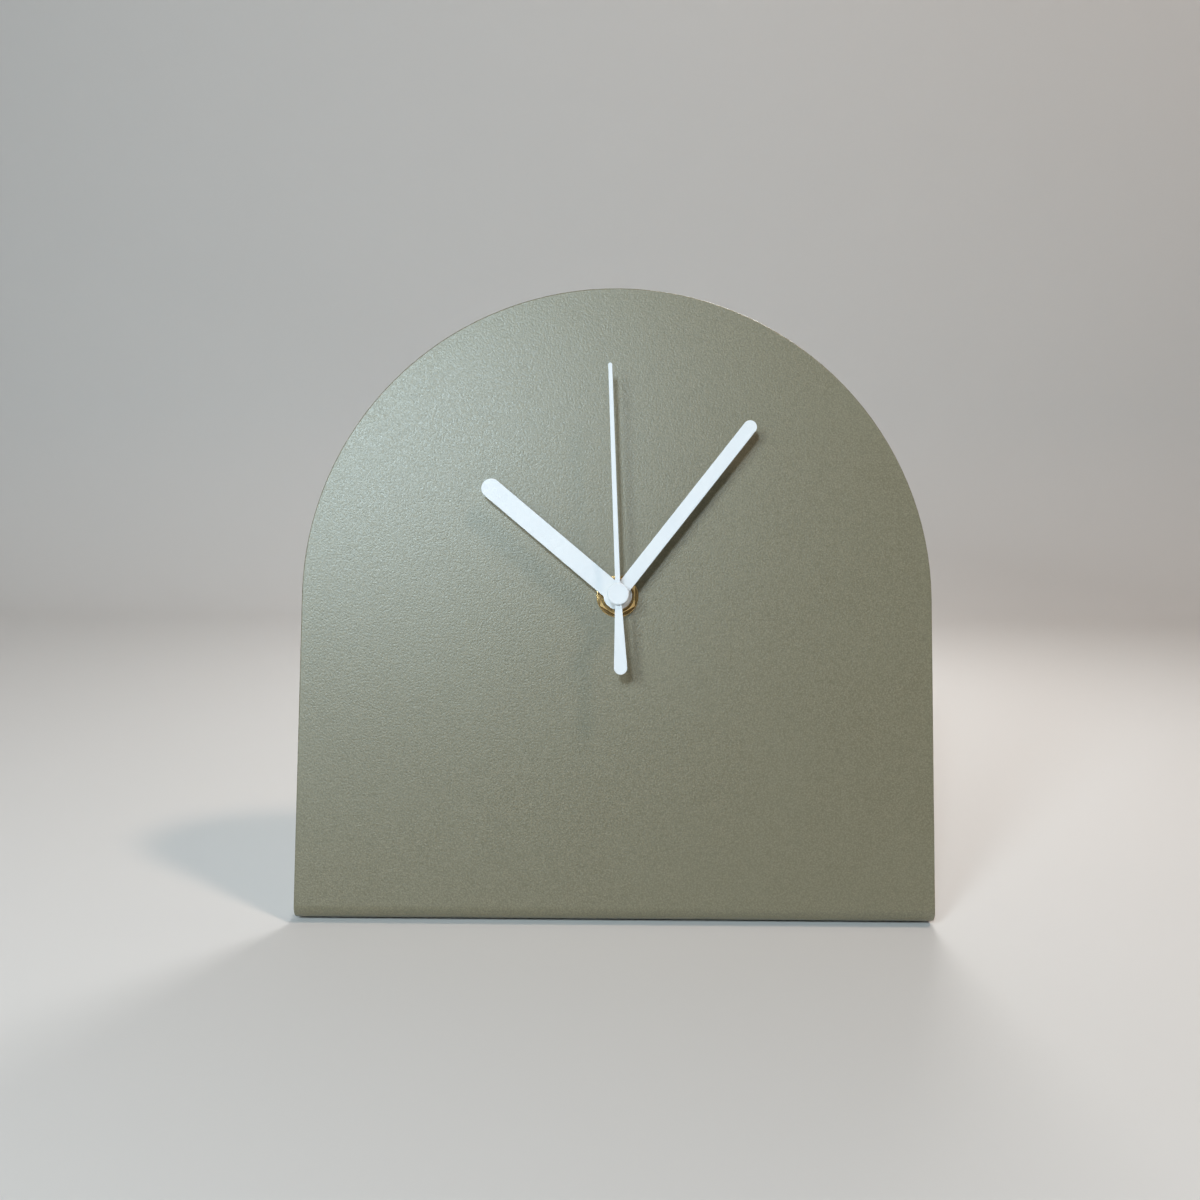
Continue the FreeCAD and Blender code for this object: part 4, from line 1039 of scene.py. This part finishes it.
def sky():
    """Even light all round. The camera sees a pale background, shiny surfaces a dimmer room in front."""
    world = bpy.data.worlds.new("studio")
    bpy.context.scene.world = world
    world.use_nodes = True
    tree = world.node_tree
    tree.nodes.clear()
    camera_ray, seen = seen_rays(tree)
    light = tree.nodes.new("ShaderNodeBackground")
    light.inputs["Color"].default_value = sky_colour
    light.inputs["Strength"].default_value = sky_strength
    shown = tree.nodes.new("ShaderNodeBackground")
    direction = tree.nodes.new("ShaderNodeTexCoord").outputs["Generated"]
    split = tree.nodes.new("ShaderNodeSeparateXYZ")
    tree.links.new(direction, split.inputs["Vector"])
    behind = tree.nodes.new("ShaderNodeMapRange")
    behind.inputs["From Min"].default_value = room_from
    behind.inputs["From Max"].default_value = room_to
    tree.links.new(split.outputs["Y"], behind.inputs["Value"])
    pale = tree.nodes.new("ShaderNodeMath")
    pale.operation = "MAXIMUM"
    tree.links.new(behind.outputs["Result"], pale.inputs[0])
    tree.links.new(camera_ray, pale.inputs[1])
    room = tree.nodes.new("ShaderNodeMix")
    room.data_type = "RGBA"
    room.inputs["A"].default_value = room_colour
    room.inputs["B"].default_value = background_colour
    tree.links.new(pale.outputs["Value"], room.inputs["Factor"])
    tree.links.new(room.outputs["Result"], shown.inputs["Color"])
    mix = tree.nodes.new("ShaderNodeMixShader")
    tree.links.new(seen, mix.inputs["Fac"])
    tree.links.new(light.outputs["Background"], mix.inputs[1])
    tree.links.new(shown.outputs["Background"], mix.inputs[2])
    output = tree.nodes.new("ShaderNodeOutputWorld")
    tree.links.new(mix.outputs["Shader"], output.inputs["Surface"])


def photo_camera():
    """The camera at the photograph's place, angles and focal length."""
    forward = Vector((
        math.sin(camera_yaw) * math.cos(camera_pitch),
        math.cos(camera_yaw) * math.cos(camera_pitch),
        -math.sin(camera_pitch),
    ))
    level_right = Vector((math.cos(camera_yaw), -math.sin(camera_yaw), 0.0))
    level_down = forward.cross(level_right)
    right = math.cos(camera_roll) * level_right + math.sin(camera_roll) * level_down
    down = math.cos(camera_roll) * level_down - math.sin(camera_roll) * level_right
    data = bpy.data.cameras.new("photo_camera")
    data.sensor_width = sensor_width_mm
    data.lens = sensor_width_mm * focal_length_px / photo_width_px
    data.clip_start = camera_near
    data.clip_end = camera_far
    camera = bpy.data.objects.new("photo_camera", data)
    turn = Matrix((right, -down, -forward)).transposed().to_4x4()
    camera.matrix_world = Matrix.Translation(hub + camera_from_hub) @ turn
    bpy.context.scene.collection.objects.link(camera)
    bpy.context.scene.camera = camera


photo_camera()
floor_and_wall()
lamp("window", window_way, window_distance, window_side, window_power, window_colour)
lamp(
    "side_window", side_window_way, side_window_distance, side_window_side, side_window_power,
    side_window_colour,
)
lamp("ceiling", ceiling_way, ceiling_distance, ceiling_side, ceiling_power, ceiling_colour)
lamp("back_light", back_way, back_distance, back_side, back_power, back_colour)
sky()
dress_nodes()
dial_washer()
hub_nut()
bush()
hand("hour_hand", "hour_works")
hand("minute_hand", "minute_works")
hand("second_hand", "second_works", tail=True)
hand_cap()
battery()
cover_marks()
soften("rear_cover", cover_bevel)
soften("movement_case", case_bevel)
soften("setting_knob", knob_bevel)
bpy.context.scene.view_settings.view_transform = "Standard"
